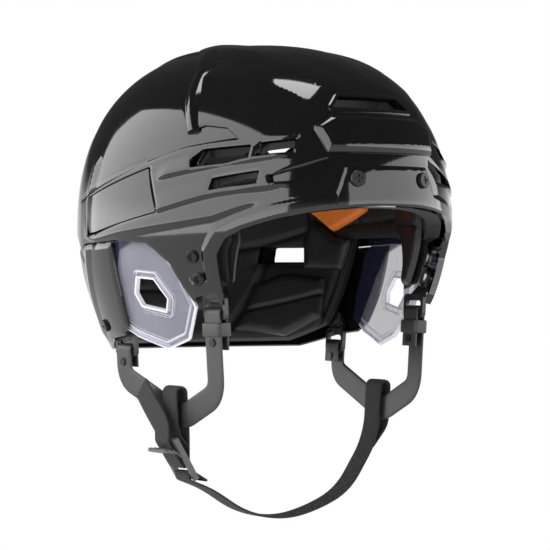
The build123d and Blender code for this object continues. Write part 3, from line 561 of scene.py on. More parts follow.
BAR = shape([
    (-0.39, 0.5), (-0.29, 0.56), (0.29, 0.56), (0.39, 0.5), (0.352, 0.37), (-0.352, 0.37),
], "front")
TOP_VENT = shape([(-0.25, 0.592), (0.25, 0.592), (0.19, 0.65), (-0.19, 0.65)], "front")
LEAF = [(-27, 41), (-31, 45.5), (-64, 58), (-78, 56), (-86, 50), (-58, 46), (-28, 39)]
POCKET = [(-107, 24), (-106, 28), (-118, 33), (-125, 37.5), (-127, 34), (-124, 26)]
LOWER_FOLD = [(-34, 7), (-73, 16), (-80, 17.5), (-106, 21), (-118, 24)]
SKIRT_FOLD = [(38, -4), (18, -8), (-10, -4), (-57, 1), (-79, 4), (-104, 13)]
UPPER_FOLD = [(-36, 27), (-63, 31.5), (-100, 37), (-118, 41)]
CROWN_FOLD = [(37, -15), (34, -53), (37, -73), (26, -103), (20, -107)]
SHOULDER_FOLD = [(66, -40), (60, -62), (47, -84), (41, -98), (38, -106)]
LEVER_SEAM = 0.9
FACE_SIDE = ("front", 1, -1, 30.0)


# %% Front half
def front_region(points):
    """Distance from the front half's edge: its side outline less the vents and the recess."""
    edge = away(points, FRONT_REGION)
    for hole in (UPPER_VENT, FRONT_VENT, LOWER_VENT, LEAF, POCKET):
        edge = np.maximum(edge, -away(points, hole))
    edge = np.maximum(edge, LEVER_SEAM - away(points, LEVER))
    return np.maximum(edge, np.where(points[..., 1] < 0, -away(points, TOP_VENT, "front"), -9.0))


def front_relief(points):
    """Height over the plain form: ramps for bands and recesses, straight folds for creases."""
    x, y, z = points[:, 0], points[:, 1], points[:, 2]
    height = 1.9 * strake(y, z, LOWER_FOLD, 11.0)
    height += 1.7 * strake(y, z, SKIRT_FOLD, 13.0)
    height += 2.0 * strake(y, z, UPPER_FOLD, 9.0)
    height += 1.5 * crest(line_distance(np.abs(x), y, CROWN_FOLD), 15.0) * (z > 60)
    height += 1.2 * crest(line_distance(np.abs(x), y, SHOULDER_FOLD), 12.0) * (z > 50)
    brim = -inshape(y, z, FRONT_REGION)
    height += 1.1 * ramp(brim - 8.0, 3.0) * (y < -60) * (z < 30)
    return height


def brow_region(points):
    """The flat brow plate, by its outline in the front view, down to the brim."""
    return np.maximum(part_of(BROW, *FACE_SIDE)(points), away(points, FRONT_REGION) + 1.2)


def lip_region(points):
    """A lip 2.4 mm wide round the top vent."""
    return np.maximum(np.abs(away(points, TOP_VENT, "front") - 1.3) - 1.2, points[..., 1] + 30)


def bevel(outline, drop, width, power=1.0):
    """The top of a plate outlined in the front view slopes down over a width to its edges."""
    def relief(points):
        return -drop * np.clip(1 + away(points, outline, "front") / width, 0, 1) ** power
    return relief


def rim_slope(points):
    """The rim stands 2.6 mm proud, with a 3.2 mm bevel at its rear edge, and sinks into the skin ahead."""
    y, z = points[:, 1], points[:, 2]
    behind = line_distance(y, z, RIM_BAND[:5])
    ahead = line_distance(y, z, RIM_BAND[5:])
    return -3.2 * np.clip(behind / (behind + ahead + 1e-6), 0, 1) ** 2 - 1.9 * np.clip(1 - behind / 3.2, 0, 1)


for name, region, outer, inner, settings in (
    ("front_shell_skin", front_region, 0.0, 3.0,
     {"replaces": ("front_shell",), "proud": front_relief, "edge": 0.5}),
    ("crown_rim", grown(RIM_BAND, 0.0), -2.6, 1.5, {"proud": rim_slope, "edge": 0.0}),
    ("leaf_floors", grown(LEAF, 0.6), 1.5, 3.8, {"edge": 0.0}),
    ("pocket_floors", grown(POCKET, 0.6), 2.4, 3.8, {"edge": 0.0}),
    ("brow_plate", brow_region, -1.3, 1.0,
     {"window": (-90, 90, -253, -60), "proud": bevel(BROW, 1.0, 2.0), "edge": 0.1}),
    ("vent_lip", lip_region, -1.3, 1.5, {"step": 0.7, "window": (-60, 60, -160, -20), "edge": 0.5}),
    ("brow_bar", part_of(BAR, *FACE_SIDE), -3.4, 1.5,
     {"step": 0.9, "window": (-90, 90, -200, -20), "proud": bevel(BAR, 2.0, 4.0, 1.5), "edge": 0.3}),
    ("arm_floors", grown(ARM, -1.5), 3.1, 4.7, {"step": 2.4, "edge": 0.1}),
):
    wall(name, region, outer, inner, "front_half", "shell", shell_gloss, **{"step": 1.0, **settings})

# %% [markdown]
# The rear half lies a step lower, and a tongue reaches forward under the front half. When the helmet
# is made longer the tongue slides into view, so it is here in full.

# %% Rear half
REAR_REGION = shape([
    (0.298, 1.06), (-0.433, 1.06), (-0.5, 0.459), (-0.418, 0.265), (-0.188, 0.221),
    (-0.188, -0.05), (0.031, -0.06), (0.039, -0.5), (0.063, -0.725), (0.125, -0.8),
    (0.267, -0.825), (0.471, -0.925), (1.06, -0.95), (1.06, 1.06),
])
LAP_REGION = shape([
    (0.188, 1.06), (-0.173, 0.919), (-0.339, 0.742), (-0.404, 0.601), (-0.462, 0.459),
    (-0.418, 0.318), (-0.188, 0.265), (-0.188, -0.037), (0.204, -0.037), (0.267, -0.25),
    (1.05, -0.25), (1.05, 1.06),
])
REAR_VENT = shape([(0.502, -0.113), (0.722, -0.113), (0.722, -0.237), (0.518, -0.237)])
HIGH_VENT = shape([(0.48, 0.55), (0.66, 0.42), (0.7, 0.5), (0.52, 0.63)])
REAR_FOLD = [(48, -18), (60, -9), (92, -9), (112, -22)]
SIDE_FOLD = [(27, 38), (32, 22), (36, -10), (44, -34), (52, -62)]


def vents_behind(points, margin=0.0):
    """How far outside the two rear vents a point is."""
    return np.minimum(away(points, REAR_VENT), away(points, HIGH_VENT)) - margin


def rear_region(points):
    """The rear outline less the front half and its seam, and less the vents."""
    edge = np.maximum(away(points, REAR_REGION), 0.8 - away(points, FRONT_REGION))
    return np.maximum(edge, -vents_behind(points))


def tongue_region(points):
    """The lap outline, under the front half and its seam."""
    return np.maximum(away(points, LAP_REGION), away(points, FRONT_REGION) - 3.6)


def web_region(points):
    """The narrow web that carries the tongue, just behind the seam."""
    behind_seam = np.abs(away(points, FRONT_REGION) - 2.2) - 1.4
    return np.maximum(np.maximum(behind_seam, away(points, LAP_REGION)), away(points, REAR_REGION))


def rear_relief(points):
    """A raised band along the crown, folds down the sides and round the nape, and a frame sunk
    round each vent."""
    x, y, z = points[:, 0], points[:, 1], points[:, 2]
    height = 1.3 * ramp(np.abs(x) - 40.0 - 0.1 * y, 7.0) * (z > 20)
    height += 1.2 * crest(line_distance(y, z, SIDE_FOLD), 7.0)
    height -= 0.9 * crest(line_distance(y, z, REAR_FOLD), 3.0)
    return height - 1.0 * ramp(vents_behind(points) - 4.5, 3.6)


for name, region, outer, inner, settings in (
    ("rear_shell_skin", rear_region, 1.5, 3.9,
     {"step": 1.7, "replaces": ("rear_shell",), "proud": rear_relief}),
    ("rear_tongue", tongue_region, 7.3, 9.7, {"step": 2.4}),
    ("rear_web", web_region, 3.7, 7.5, {"step": 1.5, "edge": 0.0}),
):
    wall(name, region, outer, inner, "rear_half", "shell", shell_gloss, **settings)

# %% [markdown]
# The ear guards are see-through plastic with a faint violet colour. Their rims and beads are less
# see-through than the pane and coloured lighter: a painted highlight along them. A cloud makes the pane
# paler in places, partly the plastic's own colour and partly painted reflection. The flange that goes
# under the shell is coloured dark: painted shade under the shell's edge. Two stored distances drive
# this: one from the rims and one from the edge of the pane.

# %% Ear guards
GUARD = shape([
    (-0.267, -0.1), (-0.144, -0.037), (0.11, -0.05), (0.188, -0.175), (0.196, -0.5),
    (0.157, -0.7), (0.031, -0.8), (-0.152, -0.887), (-0.289, -0.812), (-0.339, -0.7),
    (-0.39, -0.575), (-0.361, -0.3),
])
GUARD_TAB = shape([(-0.26, -0.12), (-0.53, -0.12), (-0.53, -0.285), (-0.33, -0.285)])
WINDOW = shape([
    (-0.101, -0.362), (-0.202, -0.375), (-0.253, -0.512), (-0.224, -0.6), (-0.087, -0.562), (-0.065, -0.475),
])

PANE = [
    (12, -64), (11, -48), (8, -30), (0, -13), (-14, -8), (-30, -8), (-41, -16), (-49, -34),
    (-58.5, -52), (-62, -90), (8, -90),
]

# Opacity and lightness rise at the rims and the beads: a painted highlight along them.
RIM_HIGHLIGHT_STOPS = [(0.0, 0.9), (0.04, 0.88), (0.07, 0.36), (0.17, 0.4), (0.2, 0.8), (0.23, 0.36), (1.0, 0.36)]
guard_clear, tree, shader = new_material(
    "guard_clear", (0.86, 0.86, 0.93, 0.5), {"Roughness": 0.08, "IOR": 1.5}
)
from_edge = add_node(tree, "Attribute", attribute_name="from_edge").outputs["Fac"]
in_pane = add_node(tree, "Attribute", attribute_name="from_flange").outputs["Fac"]
rim_highlight_and_opacity = color_stops(tree, math_node(tree, "MULTIPLY", from_edge, 1 / 20),
                     [(place, (value, value, value)) for place, value in RIM_HIGHLIGHT_STOPS])
clear = add_node(tree, "MapRange", {"Value": in_pane, "From Min": -0.6, "From Max": 0.6},
                 interpolation_type="SMOOTHSTEP").outputs[0]
alpha = add_node(tree, "Mix", {"Factor": clear, "A": 0.72, "B": rim_highlight_and_opacity})
spot = add_node(tree, "TexCoord").outputs["Object"]
cloud = add_node(tree, "TexNoise", {"Vector": spot, "Scale": 25.0, "Detail": 1.0})
highlight_and_cloud = math_node(tree, "MULTIPLY_ADD", cloud.outputs["Fac"], 0.25, rim_highlight_and_opacity)
# Lighter where the rim highlight and the cloud rise: painted highlight, and in the pane partly painted
# reflection over the plastic's own colour.
tint_and_highlight = color_stops(tree, highlight_and_cloud, [(0.4, (0.26, 0.26, 0.33)), (1.0, (0.72, 0.72, 0.8))])
# Dark navy and mostly solid on the flange: painted shade under the shell's edge.
tint_highlight_and_shade = add_node(tree, "Mix", {"Factor": clear, 6: (0.02, 0.023, 0.05, 1), 7: tint_and_highlight}, data_type="RGBA")
feed(tree, shader, {"Alpha": alpha.outputs["Result"], "Base Color": tint_highlight_and_shade.outputs[2]})


def guard_region(side):
    """The guard and its tab less the window, on one side of the head."""
    def region(points):
        edge = np.minimum(away(points, GUARD), away(points, GUARD_TAB))
        return np.maximum(np.maximum(edge, -away(points, WINDOW)), 5.0 - side * points[..., 0])
    return region


def guard_relief(points):
    """A bead along the outline and another round the window."""
    bead = 1.1 * ramp(-away(points, GUARD) - 3.4, 1.8) * (points[:, 2] < -14)
    return np.minimum(bead + 1.3 * ramp(away(points, WINDOW) - 4.0, 2.2), 1.3)


def from_rims(points):
    """Distance from the outline or the window, whichever is nearer."""
    return np.minimum(np.abs(away(points, GUARD)), np.abs(away(points, WINDOW)))


def from_flange(points):
    """How far inside the clear pane a point lies, below 0 on the flange."""
    return -away(points, PANE)


for side, word in ((-1, "right"), (1, "left")):
    guard_map = (100, 253, -200, 120) if side > 0 else (-253, -100, -200, 120)
    wall(f"ear_guard_pane_{word}", guard_region(side), 4.9, 6.9, "front_half", "guard", guard_clear,
         step=1.1, window=guard_map, replaces=(f"ear_guard_{word}",), proud=guard_relief,
         edge=0.3, attributes=(("from_edge", from_rims), ("from_flange", from_flange)))

# %% [markdown]
# The liner is moulded foam with a closed skin. Channels divide its inner face into panels, so that
# it bends with the shell and lets air through.

# %% Foam liners
FRONT_FOAM = shape([
    (0.165, 1.06), (-0.196, 0.91), (-0.362, 0.735), (-0.426, 0.6), (-0.488, 0.459),
    (-0.44, 0.295), (-0.212, 0.245), (-0.212, -0.03), (-0.285, -0.05), (-0.378, -0.27),
    (-0.405, -0.47), (-0.44, -0.44), (-0.51, -0.41), (-0.54, -0.44), (-0.565, -0.18),
    (-0.61, -0.05), (-0.68, 0.015), (-0.8, 0.06), (-0.909, 0.096), (-1.0, 0.12),
    (-1.12, 0.13), (-1.12, 1.06),
])
HANGER_POCKET = shape([(-0.27, -0.05), (-0.27, -0.64), (-0.6, -0.64), (-0.6, -0.08)])
REAR_FOAM = shape([
    (0.19, 1.06), (-0.171, 0.919), (-0.335, 0.742), (-0.4, 0.601), (-0.456, 0.459),
    (-0.416, 0.322), (-0.186, 0.267), (-0.186, -0.033), (0.21, -0.033), (0.25, -0.5),
    (0.28, -0.74), (0.471, -0.88), (1.06, -0.91), (1.06, 1.06),
])
FRONT_CHANNELS = [[(-140, 62), (-60, 66)], [(-84, 8), (-76, 60)], [(-112, 14), (-104, 70)]]
REAR_CHANNELS = [
    [(-26, 8), (55, 4)], [(55, 4), (120, -18)], [(34, -10), (40, -60)], [(60, -8), (70, 60)],
    [(20, 5), (28, 88)], [(-40, 50), (110, 46)], [(84, -14), (88, -72)],
]


def front_foam_region(points):
    """The foam's outline less the vents, which are a millimetre wider than the shell's."""
    edge = away(points, FRONT_FOAM)
    for hole in (UPPER_VENT, FRONT_VENT, LOWER_VENT):
        edge = np.maximum(edge, 1.0 - away(points, hole))
    return np.maximum(edge, np.where(points[..., 1] < 0, 1.0 - away(points, TOP_VENT, "front"), -9.0))


def rear_foam_region(points):
    """The rear foam's outline less its vents."""
    return np.maximum(away(points, REAR_FOAM), -vents_behind(points, 1.0))


def channels(lines, width, depth):
    """Relief of the inner face: a channel of some width and depth along each side-view line."""
    def relief(points):
        y, z = points[:, 1], points[:, 2]
        cut = np.min([line_distance(y, z, line) for line in lines], axis=0)
        return -depth * ramp(cut - width / 2, width)
    return relief


def front_foam_back(points):
    """The foam's outer face sinks behind the hangers and nuts."""
    return -6.0 * ramp(away(points, HANGER_POCKET), 2.0)


wall("front_liner_foam", front_foam_region, 5.0, 16.3, "front_half", "foam", foam_skin, step=2.2,
     replaces=("front_liner",), proud=front_foam_back, sunk=channels(FRONT_CHANNELS, 3.0, 2.0), edge=0.8,
     inner_edge=1.6)
wall("rear_liner_foam", rear_foam_region, 10.0, 16.3, "rear_half", "foam", foam_skin, step=2.2,
     replaces=("rear_liner",), sunk=channels(REAR_CHANNELS, 3.0, 2.0), edge=0.8, inner_edge=1.4)

# %% [markdown]
# Comfort pads lie on the liner. Each is a crowned cushion: it rises from a thin welt, its sides roll
# in, and pressed lines cross it. The height is a rounded function of the distance from the outline.

# %% Pads
PAD_DEPTH, PAD_WELT = 16.6, 1.0


def cushion(name, region, body, node, window, creases=(), view="side", width=6.5, fill=0.6,
            slot="pad", material=pad_foam):
    """Crowned pad over its welt: 4.1 (1 - (1 - d)^2.4)^(1/2.4), with d the edge distance over the
    roll's width, plus a slow swell to the middle, less the lines pressed in a view."""
    def crown(points):
        first, second = (points[:, axis] for axis in VIEWS[view])
        inward = np.maximum(-region(points), 0)
        rise = 4.1 * (1 - (1 - np.clip(inward / width, 0, 1)) ** 2.4) ** (1 / 2.4)
        rise += 0.9 * (1 - np.exp(-inward / 12.0))
        for line in creases:
            rise -= 1.5 * np.exp(-((line_distance(first, second, line) / 1.5) ** 2))
        return np.maximum(rise, 0.0)
    pad = wall(name, region, PAD_DEPTH, PAD_DEPTH + PAD_WELT, body, slot, material, step=1.5,
               window=window, replaces=(node,), sunk=crown, edge=0.0)


TEMPLE_PAD = shape([
    (-0.22, 0.15), (-0.22, -0.02), (-0.3, -0.06), (-0.39, -0.3), (-0.42, -0.42),
    (-0.5, -0.4), (-0.56, -0.1), (-0.56, 0.15),
])
FOREHEAD_PAD = shape([(-0.79, 0.17), (-0.79, 0.5), (-1.1, 0.5), (-1.1, 0.17)])
POD = shape([
    (0.063, 0.124), (0.063, 0.265), (0.235, 0.353), (0.408, 0.3), (0.455, 0.124), (0.322, 0.01),
])
SIDE_PAD = shape([
    (0.24, -0.3), (0.2, -0.06), (0.31, -0.03), (0.45, 0.08), (0.49, -0.07), (0.47, -0.3),
])
OCCIPITAL_PAD = shape([
    (0.3, -0.68), (0.34, -0.37), (0.56, -0.33), (0.66, -0.42), (0.66, -0.8), (0.46, -0.84),
])
NAPE_PAD = shape([
    (-0.29, -0.27), (0.29, -0.27), (0.34, -0.5), (0.32, -0.64), (-0.32, -0.64), (-0.34, -0.5),
], "front")
FRONT_CROWN_PAD = shape([(-0.27, -0.58), (-0.3, -0.38), (0.3, -0.38), (0.27, -0.58)], "plan")
REAR_CROWN_PAD = shape([(-0.34, 0.3), (-0.28, 0.66), (0.28, 0.66), (0.34, 0.3)], "plan")

for side, word in ((-1, "right"), (1, "left")):
    half_map = (0, 253, -253, 253) if side > 0 else (-253, 0, -253, 253)
    for name, outline, body, settings in (
        ("temple_pad", TEMPLE_PAD, "front_half", {"creases": ([(-80, 2), (-32, 4)],)}),
        ("side_pad", SIDE_PAD, "rear_half", {}),
        ("occipital_pad", OCCIPITAL_PAD, "rear_half", {"creases": ([(36, -38), (86, -52)],)}),
        ("impact_pod", POD, "rear_half", {"fill": 0.9, "width": 4.0, "slot": "pod", "material": pod_orange}),
    ):
        cushion(f"{name}_form_{word}", part_of(outline, "side", 0, side), body, f"{name}_{word}",
                half_map, **settings)

for name, region, body, window, creases, view in (
    ("forehead_pad", part_of(FOREHEAD_PAD, "side", 1, -1), "front_half", (-200, 200, -253, 0),
     ([(-14, 10), (-11, 60)], [(14, 10), (11, 60)]), "front"),
    ("nape_pad", part_of(NAPE_PAD, "front", 1, 1), "rear_half", (-120, 120, 60, 253),
     ([(-36, -38), (36, -38)],), "front"),
    ("front_crown_pad", part_of(FRONT_CROWN_PAD, "plan", 2, 1), "front_half", (-80, 80, -160, 0), (), "plan"),
    ("rear_crown_pad", part_of(REAR_CROWN_PAD, "plan", 2, 1), "rear_half", (-80, 80, 0, 190), (), "plan"),
):
    cushion(f"{name}_form", region, body, name, window, creases, view)

# %% [markdown]
# Straps are ribbons carried along a path. At each point of the path the ribbon has a direction across
# its width and a direction out of its face, and a rounded flat section stands on those two.

# %% Ribbon maker
def smooth_path(corners, radius, spacing=2.0):
    """Points along corners joined by straight runs and quadratic bends.

    Each bend starts and ends at the radius from its corner, at most half the run, and follows
    (1 - t)^2 a + 2 t (1 - t) corner + t^2 b.
    """
    corners = np.array(corners, float)
    pieces = [corners[:1]]
    last = corners[0]
    t = np.linspace(0, 1, 9)[:, None]
    for before, corner, after in zip(corners, corners[1:], corners[2:]):
        to_before, to_after = before - corner, after - corner
        reach_before, reach_after = np.linalg.norm(to_before), np.linalg.norm(to_after)
        trim = min(radius, reach_before / 2, reach_after / 2)
        a = corner + to_before / reach_before * trim
        b = corner + to_after / reach_after * trim
        straight = max(int(np.linalg.norm(a - last) / spacing), 1)
        pieces.append(last + (a - last) * (np.arange(1, straight) / straight)[:, None])
        pieces.append((1 - t) ** 2 * a + 2 * t * (1 - t) * corner + t**2 * b)
        last = b
    straight = max(int(np.linalg.norm(corners[-1] - last) / spacing), 1)
    pieces.append(last + (corners[-1] - last) * (np.arange(1, straight + 1) / straight)[:, None])
    return np.concatenate(pieces)


def rounded(count, across_power, out_power):
    """Points round a superellipse of half size 1, as (across, out)."""
    turn = np.linspace(0, 2 * np.pi, count, endpoint=False)
    return [np.sign(wave) * np.abs(wave) ** power
            for wave, power in ((np.cos(turn), across_power), (np.sin(turn), out_power))]


def ribbon(name, path, across, width, thickness, body, slot, material, replaces=()):
    """Closed ribbon along a path. Its points are path + across * a + out * b for a rounded flat
    section's (a, b), where out is the path's direction crossed with the direction across."""
    path = np.asarray(path, float)
    run = unit(np.gradient(path, axis=0))
    across = np.broadcast_to(np.asarray(across, float), path.shape)
    across = unit(across - run * np.sum(across * run, 1)[:, None])
    out = np.cross(run, across)
    a, b = rounded(24, 0.35, 0.5)
    a, b = a * width / 2, b * thickness / 2
    rings = path[:, None] + across[:, None] * a[None, :, None] + out[:, None] * b[None, :, None]
    count, around = rings.shape[:2]
    number = np.arange(count * around).reshape(count, around)
    nxt = np.roll(number, -1, 1)
    quads = np.stack([number[:-1], number[1:], nxt[1:], nxt[:-1]], -1).reshape(-1, 4)
    ends = np.array([path[0], path[-1]])
    first, last = count * around, count * around + 1
    caps = [
        np.stack([np.full(around, first), number[0], nxt[0]], -1),
        np.stack([np.full(around, last), nxt[-1], number[-1]], -1),
    ]
    points = np.concatenate([rings.reshape(-1, 3), ends])
    length = np.concatenate([[0], np.cumsum(np.linalg.norm(np.diff(path, axis=0), axis=1))])
    along = np.concatenate([np.repeat(length, around), [0, length[-1]]])
    over = np.concatenate([np.tile(a, count), [0, 0]])
    piece = put_mesh(name, points, quads, np.concatenate(caps), body, slot, material,
                     [("along", along), ("over", over)], replaces=replaces)
    print(f"{name}: {length[-1]:.0f} mm long, {count} steps")
    return piece


# %% [markdown]
# The ear loops are satin straps. Each goes over the bar of a ring at its front and rear end and back
# behind itself, where a rivet holds it, and a keeper goes round both layers at the front.

# %% Ear loops
loop_front = np.array((-73.6, -63.2, -46.2))
loop_rear = np.array((-79.6, 29.0, -69.2))
loop_low = np.array((-73.0, -22.0, -108.0))
loop_x = (loop_rear - loop_front) / np.linalg.norm(loop_rear - loop_front)
loop_z = np.cross(loop_rear - loop_front, loop_low - loop_front)
loop_z /= np.linalg.norm(loop_z)
loop_y = np.cross(loop_z, loop_x)
span = np.linalg.norm(loop_rear - loop_front)
loop_corners = np.array([
    loop_front + loop_x * x * span + loop_y * y * 55.0
    for x, y in [(0, 0), (0.124, 0.877), (0.516, 1.0), (1.053, 0.351), (1.0, 0)]
])
STRAP_WALL, FOLD = 1.7, 2.4


def folded_end(ring, toward, reach):
    """Path over a ring's bar: up behind the strap, half round, and down to the strap's face."""
    up = (ring - toward) / np.linalg.norm(ring - toward)
    turn = np.radians(np.linspace(-90, 90, 13))
    behind = [ring + up * a - loop_z * 2 * FOLD for a in np.linspace(-reach, -3.5, 10)]
    round_bar = [ring + up * (-3 + FOLD * math.cos(t)) + loop_z * (FOLD * math.sin(t) - FOLD) for t in turn]
    return np.array(behind + round_bar), up


front_fold, front_up = folded_end(loop_corners[0], loop_corners[1], 24.5)
rear_fold, rear_up = folded_end(loop_corners[-1], loop_corners[-2], 14.0)
middle = smooth_path(
    [loop_corners[0] - front_up * 4, *loop_corners[1:-1], loop_corners[-1] - rear_up * 4], 9.0
)
loop_path = np.concatenate([front_fold, middle, rear_fold[::-1]])
loop_run = np.gradient(loop_path, axis=0)
in_plane = np.cross(loop_z, np.concatenate([
    np.tile(-front_up, (len(front_fold), 1)), loop_run[len(front_fold):-len(rear_fold)],
    np.tile(rear_up, (len(rear_fold), 1)),
]))


def mirrored(points):
    """The same points on the wearer's left."""
    return np.asarray(points) * (-1, 1, 1)


def keeper(name, flip):
    """Short band round both layers of the strap: a rounded ring carried down the strap."""
    x_dir = np.cross(front_up, loop_z)
    a, b = rounded(48, 0.3, 0.45)
    rings = []
    for down, grow in ((8.6, -0.7), (8.9, -0.1), (9.6, 0.0), (15.6, 0.0), (16.3, -0.1), (16.6, -0.7)):
        centre = loop_corners[0] - front_up * down - loop_z * FOLD
        for wide, thick in ((8.9 + grow, 4.9 + grow), (7.7, 3.5)):
            rings.append(centre + x_dir * (a * wide)[:, None] + loop_z * (b * thick)[:, None])
    outer, inner = np.array(rings[0::2]), np.array(rings[1::2])
    tube = flip(np.concatenate([outer, inner[::-1]]))
    number = np.arange(tube.shape[0] * tube.shape[1]).reshape(tube.shape[:2])
    down_one = np.roll(number, -1, 0)
    quads = np.stack([number, down_one, np.roll(down_one, -1, 1), np.roll(number, -1, 1)], -1)
    put_mesh(name, tube.reshape(-1, 3), quads.reshape(-1, 4), np.zeros((0, 3), int), "front_half",
             "strap", strap_grey)


for word, flip in (("right", np.asarray), ("left", mirrored)):
    loop = ribbon(f"ear_loop_strap_{word}", flip(loop_path), flip(in_plane), 15.0, STRAP_WALL, None,
                  "strap", strap_grey, (f"ear_loop_{word}",))
    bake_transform(loop)
    keeper(f"loop_keeper_{word}", flip)

# %% [markdown]
# The chin strap is woven webbing. The weave follows the strap, so the material reads two attributes
# that the ribbon maker stored: the distance along the strap and the distance across it.

# %% Woven finish
webbing_black, tree, shader = new_material(
    "webbing_black", (0.02, 0.019, 0.019, 1), {"Roughness": 0.72, "Sheen Weight": 0.05}
)
waves = []
for name, pitch in (("along", 1.1), ("over", 0.9)):
    read = add_node(tree, "Attribute", attribute_name=name).outputs["Fac"]
    waves.append(math_node(tree, "SINE", math_node(tree, "MULTIPLY", read, 2 * math.pi / pitch)))
weave = math_node(tree, "MULTIPLY", *waves)
bump = add_node(tree, "Bump", {"Height": weave, "Distance": 0.00025})
weave_height = add_node(tree, "MapRange", {"Value": weave, "From Min": -1.0}).outputs[0]
# The colour is darker where the weave lies low: painted shade in its hollows.
shade = color_stops(tree, weave_height, [(0.0, (0.003, 0.0028, 0.0028)), (1.0, (0.018, 0.0165, 0.0165))])
feed(tree, shader, {"Normal": bump.outputs["Normal"], "Base Color": shade})

# %% [markdown]
# The webbing starts at a loop over the left ear loop, is sewn to itself, runs under the chin and ends
# round the foot bar of the buckle. The adjuster comes from the right ear loop, goes round the middle
# bar and ends in a free tail.

# %% Chin webbing
CHIN_Y, CHIN_DROP = -22.0, 174.5
WEBBING_WIDTH, WEBBING_WALL = 16.0, 1.6
SWING_ROOM = 0.8
lean_of_loop = -loop_z[2] / loop_z[0]
shift_of_loop = -loop_z[1] / loop_z[0] * (CHIN_Y - loop_front[1])
WRAP_TOP = -96.5
WRAP_RADIUS = 1.7 + 0.3 + SWING_ROOM + abs(loop_z[1] / loop_z[0]) * WEBBING_WIDTH / 2


def in_chin_plane(points):
    """(x, z) points set in the plane across the head that holds the webbing."""
    points = np.asarray(points, float)
    return np.stack([points[:, 0], np.full(len(points), CHIN_Y), points[:, 1]], -1)


def over_loop(side):
    """Path over an ear loop: up outside it, half round its edge and down inside it."""
    def at(z, out):
        middle_x = -(loop_front[0] + shift_of_loop + lean_of_loop * (z - loop_front[2]))
        return side * (middle_x + out * WRAP_RADIUS), z
    turn = np.radians(np.linspace(0, 180, 11))
    top_x = at(WRAP_TOP, 0)[0]
    arc = [(top_x + side * WRAP_RADIUS * math.cos(t), WRAP_TOP + WRAP_RADIUS * math.sin(t)) for t in turn]
    return [at(-120.5, 1), at(-109.0, 1), *arc, at(-109.0, -1), at(-120.5, -1)]


def arc_points(centre, start, sweep, radius, count=9):
    """Points of an arc round a centre, from a start direction in radians over a sweep."""
    turn = start + np.linspace(0, sweep, count)
    return [(centre[0] + radius * math.cos(t), centre[1] + radius * math.sin(t)) for t in turn]


lean = math.radians(31.0)
buckle_up = np.array((-math.sin(lean), math.cos(lean)))
buckle_out = np.array((-math.cos(lean), -math.sin(lean)))
buckle_foot = np.array((-0.627 * HALF, -0.8355 * CHIN_DROP))
BAR_WRAP = WEBBING_WALL + 0.3 + SWING_ROOM
chin_low = np.array([(x * HALF, -z * CHIN_DROP) for x, z in (
    (0.613, 0.766), (0.443, 0.917), (0.219, 0.974), (0, 1.0), (-0.257, 0.974), (-0.4, 0.917),
)])
bar_run = (buckle_foot - chin_low[-1]) / np.linalg.norm(buckle_foot - chin_low[-1])
bar_side = np.array((-bar_run[1], bar_run[0]))
left_loop = over_loop(1)
round_foot = arc_points(buckle_foot, math.atan2(bar_side[1], bar_side[0]), -math.pi, BAR_WRAP)
chin_corners = [chin_low[0], *left_loop, *chin_low[:-1], buckle_foot - bar_run * 16,
                *round_foot, np.array(round_foot[-1]) - bar_run * 9.6]
chin_path = smooth_path(in_chin_plane(chin_corners), 14.0)
ribbon("chin_strap_webbing", chin_path, (0, 1, 0), WEBBING_WIDTH, WEBBING_WALL, "chin_strap", "webbing",
       webbing_black, ("chin_webbing",))

right_loop = over_loop(-1)
middle_bar = buckle_foot + buckle_up * 10.0
round_middle = arc_points(middle_bar, math.atan2(-buckle_out[1], -buckle_out[0]), -math.pi, BAR_WRAP)
tail_start = np.array(round_middle[-1]) + buckle_up * 16.6 + buckle_out * 0.6
join = (np.array(right_loop[-1]) + np.array(round_middle[0])) / 2
flat_part = in_chin_plane([join, *right_loop, join, *round_middle, tail_start, tail_start + (0, 3)])
tail_part = [(tail_start[0], CHIN_Y + y * 24.0, tail_start[1] + z * 27.0) for y, z in
             [(0, 0.33), (0.62, 0.8), (1.0, 1.12)]]
adjuster_path = smooth_path(np.concatenate([flat_part, tail_part]), 9.0)
adjuster_run = np.gradient(adjuster_path, axis=0)
turned = np.clip((adjuster_path[:, 1] - CHIN_Y) / 3.0, 0, 1)[:, None]
adjuster_across = (1 - turned) * np.array((0.0, 1.0, 0.0)) + turned * np.cross((-1.0, 0, 0), adjuster_run)
ribbon("adjuster_strap", adjuster_path, adjuster_across, WEBBING_WIDTH, WEBBING_WALL, "chin_strap",
       "webbing", webbing_black, ("adjuster_webbing",))

# %% [markdown]
# The buckle's thumb tab curls away from the chin and has ribs for grip. The tab starts on the CAD
# plate, and the ribs are short rounded bars across it.

# %% Buckle tab
TAB_START, TAB_LENGTH, TAB_OUT, TAB_CURL = 15.0, 9.0, 1.2, 8.5
RIB_SHARES, RIB_HALF, RIB_STEP = (0.4, 0.58, 0.76, 0.94), 9.0, 0.9


def on_tab(t):
    """Place on the tab at a share of its length: it curls out by the share squared."""
    return buckle_foot + buckle_up * (TAB_START + TAB_LENGTH * t) + buckle_out * (TAB_OUT + TAB_CURL * t**2)


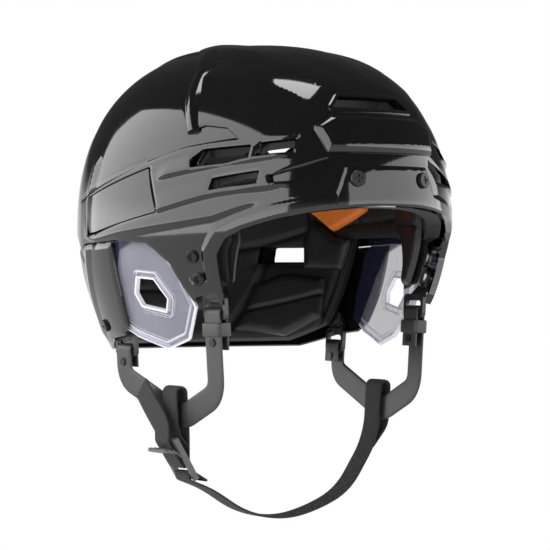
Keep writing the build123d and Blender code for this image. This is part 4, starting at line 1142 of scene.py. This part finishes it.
tab_path = [on_tab(t) for t in np.linspace(0, 1, 9)]
ribbon("buckle_tab", in_chin_plane(tab_path), (0, 1, 0), 19.0, 1.9, "chin_strap", "buckle", buckle_grey)
for index, t in enumerate(RIB_SHARES):
    at = on_tab(t) + buckle_up * RIB_STEP * t - buckle_out * RIB_STEP * (1 - t)
    bar = np.array([(at[0], CHIN_Y + y, at[1]) for y in np.linspace(-RIB_HALF, RIB_HALF, 12)])
    ribbon(f"buckle_rib_{index + 1}", bar, (buckle_up[0], 0, buckle_up[1]), 1.1, 1.3, "chin_strap", "buckle",
           buckle_grey)

# %% [markdown]
# The floor is plain and pale. Near the object it takes the shadow, and further out it turns into the
# white of the surroundings, so no horizon shows.

# %% Floor
FLOOR_REACH, FLOOR_HEIGHT = 6.0, -0.1785
corners = [(x * FLOOR_REACH, y * FLOOR_REACH, FLOOR_HEIGHT) for x, y in ((-1, -1), (1, -1), (1, 1), (-1, 1))]
floor_mesh = bpy.data.meshes.new("floor")
floor_mesh.from_pydata(corners, [], [(0, 1, 2, 3)])
floor = bpy.data.objects.new("floor", floor_mesh)
scene.collection.objects.link(floor)
floor_white, tree, shader = new_material(
    "floor_white", (0.8, 0.8, 0.8, 1), {"Base Color": (0.9, 0.9, 0.9, 1), "Roughness": 0.9}
)
spot = add_node(tree, "TexCoord").outputs["Object"]
distance = add_node(tree, "VectorMath", {0: spot}, operation="LENGTH").outputs["Value"]
fade = add_node(tree, "MapRange", {
    "Value": distance, "From Min": 0.03, "From Max": 0.2, "To Min": 0.72,
}, interpolation_type="SMOOTHSTEP").outputs[0]
path = add_node(tree, "LightPath").outputs
mirrored_too = math_node(tree, "MAXIMUM", path["Is Camera Ray"], path["Is Glossy Ray"])
seen = math_node(tree, "MAXIMUM", mirrored_too, path["Is Transmission Ray"])
mix = add_node(tree, "MixShader", {
    "Fac": math_node(tree, "MULTIPLY", fade, seen), 1: shader.outputs[0],
    2: add_node(tree, "Emission").outputs[0],
})
feed(tree, tree.nodes["Material Output"], {"Surface": mix.outputs[0]})
floor_mesh.materials.append(floor_white)
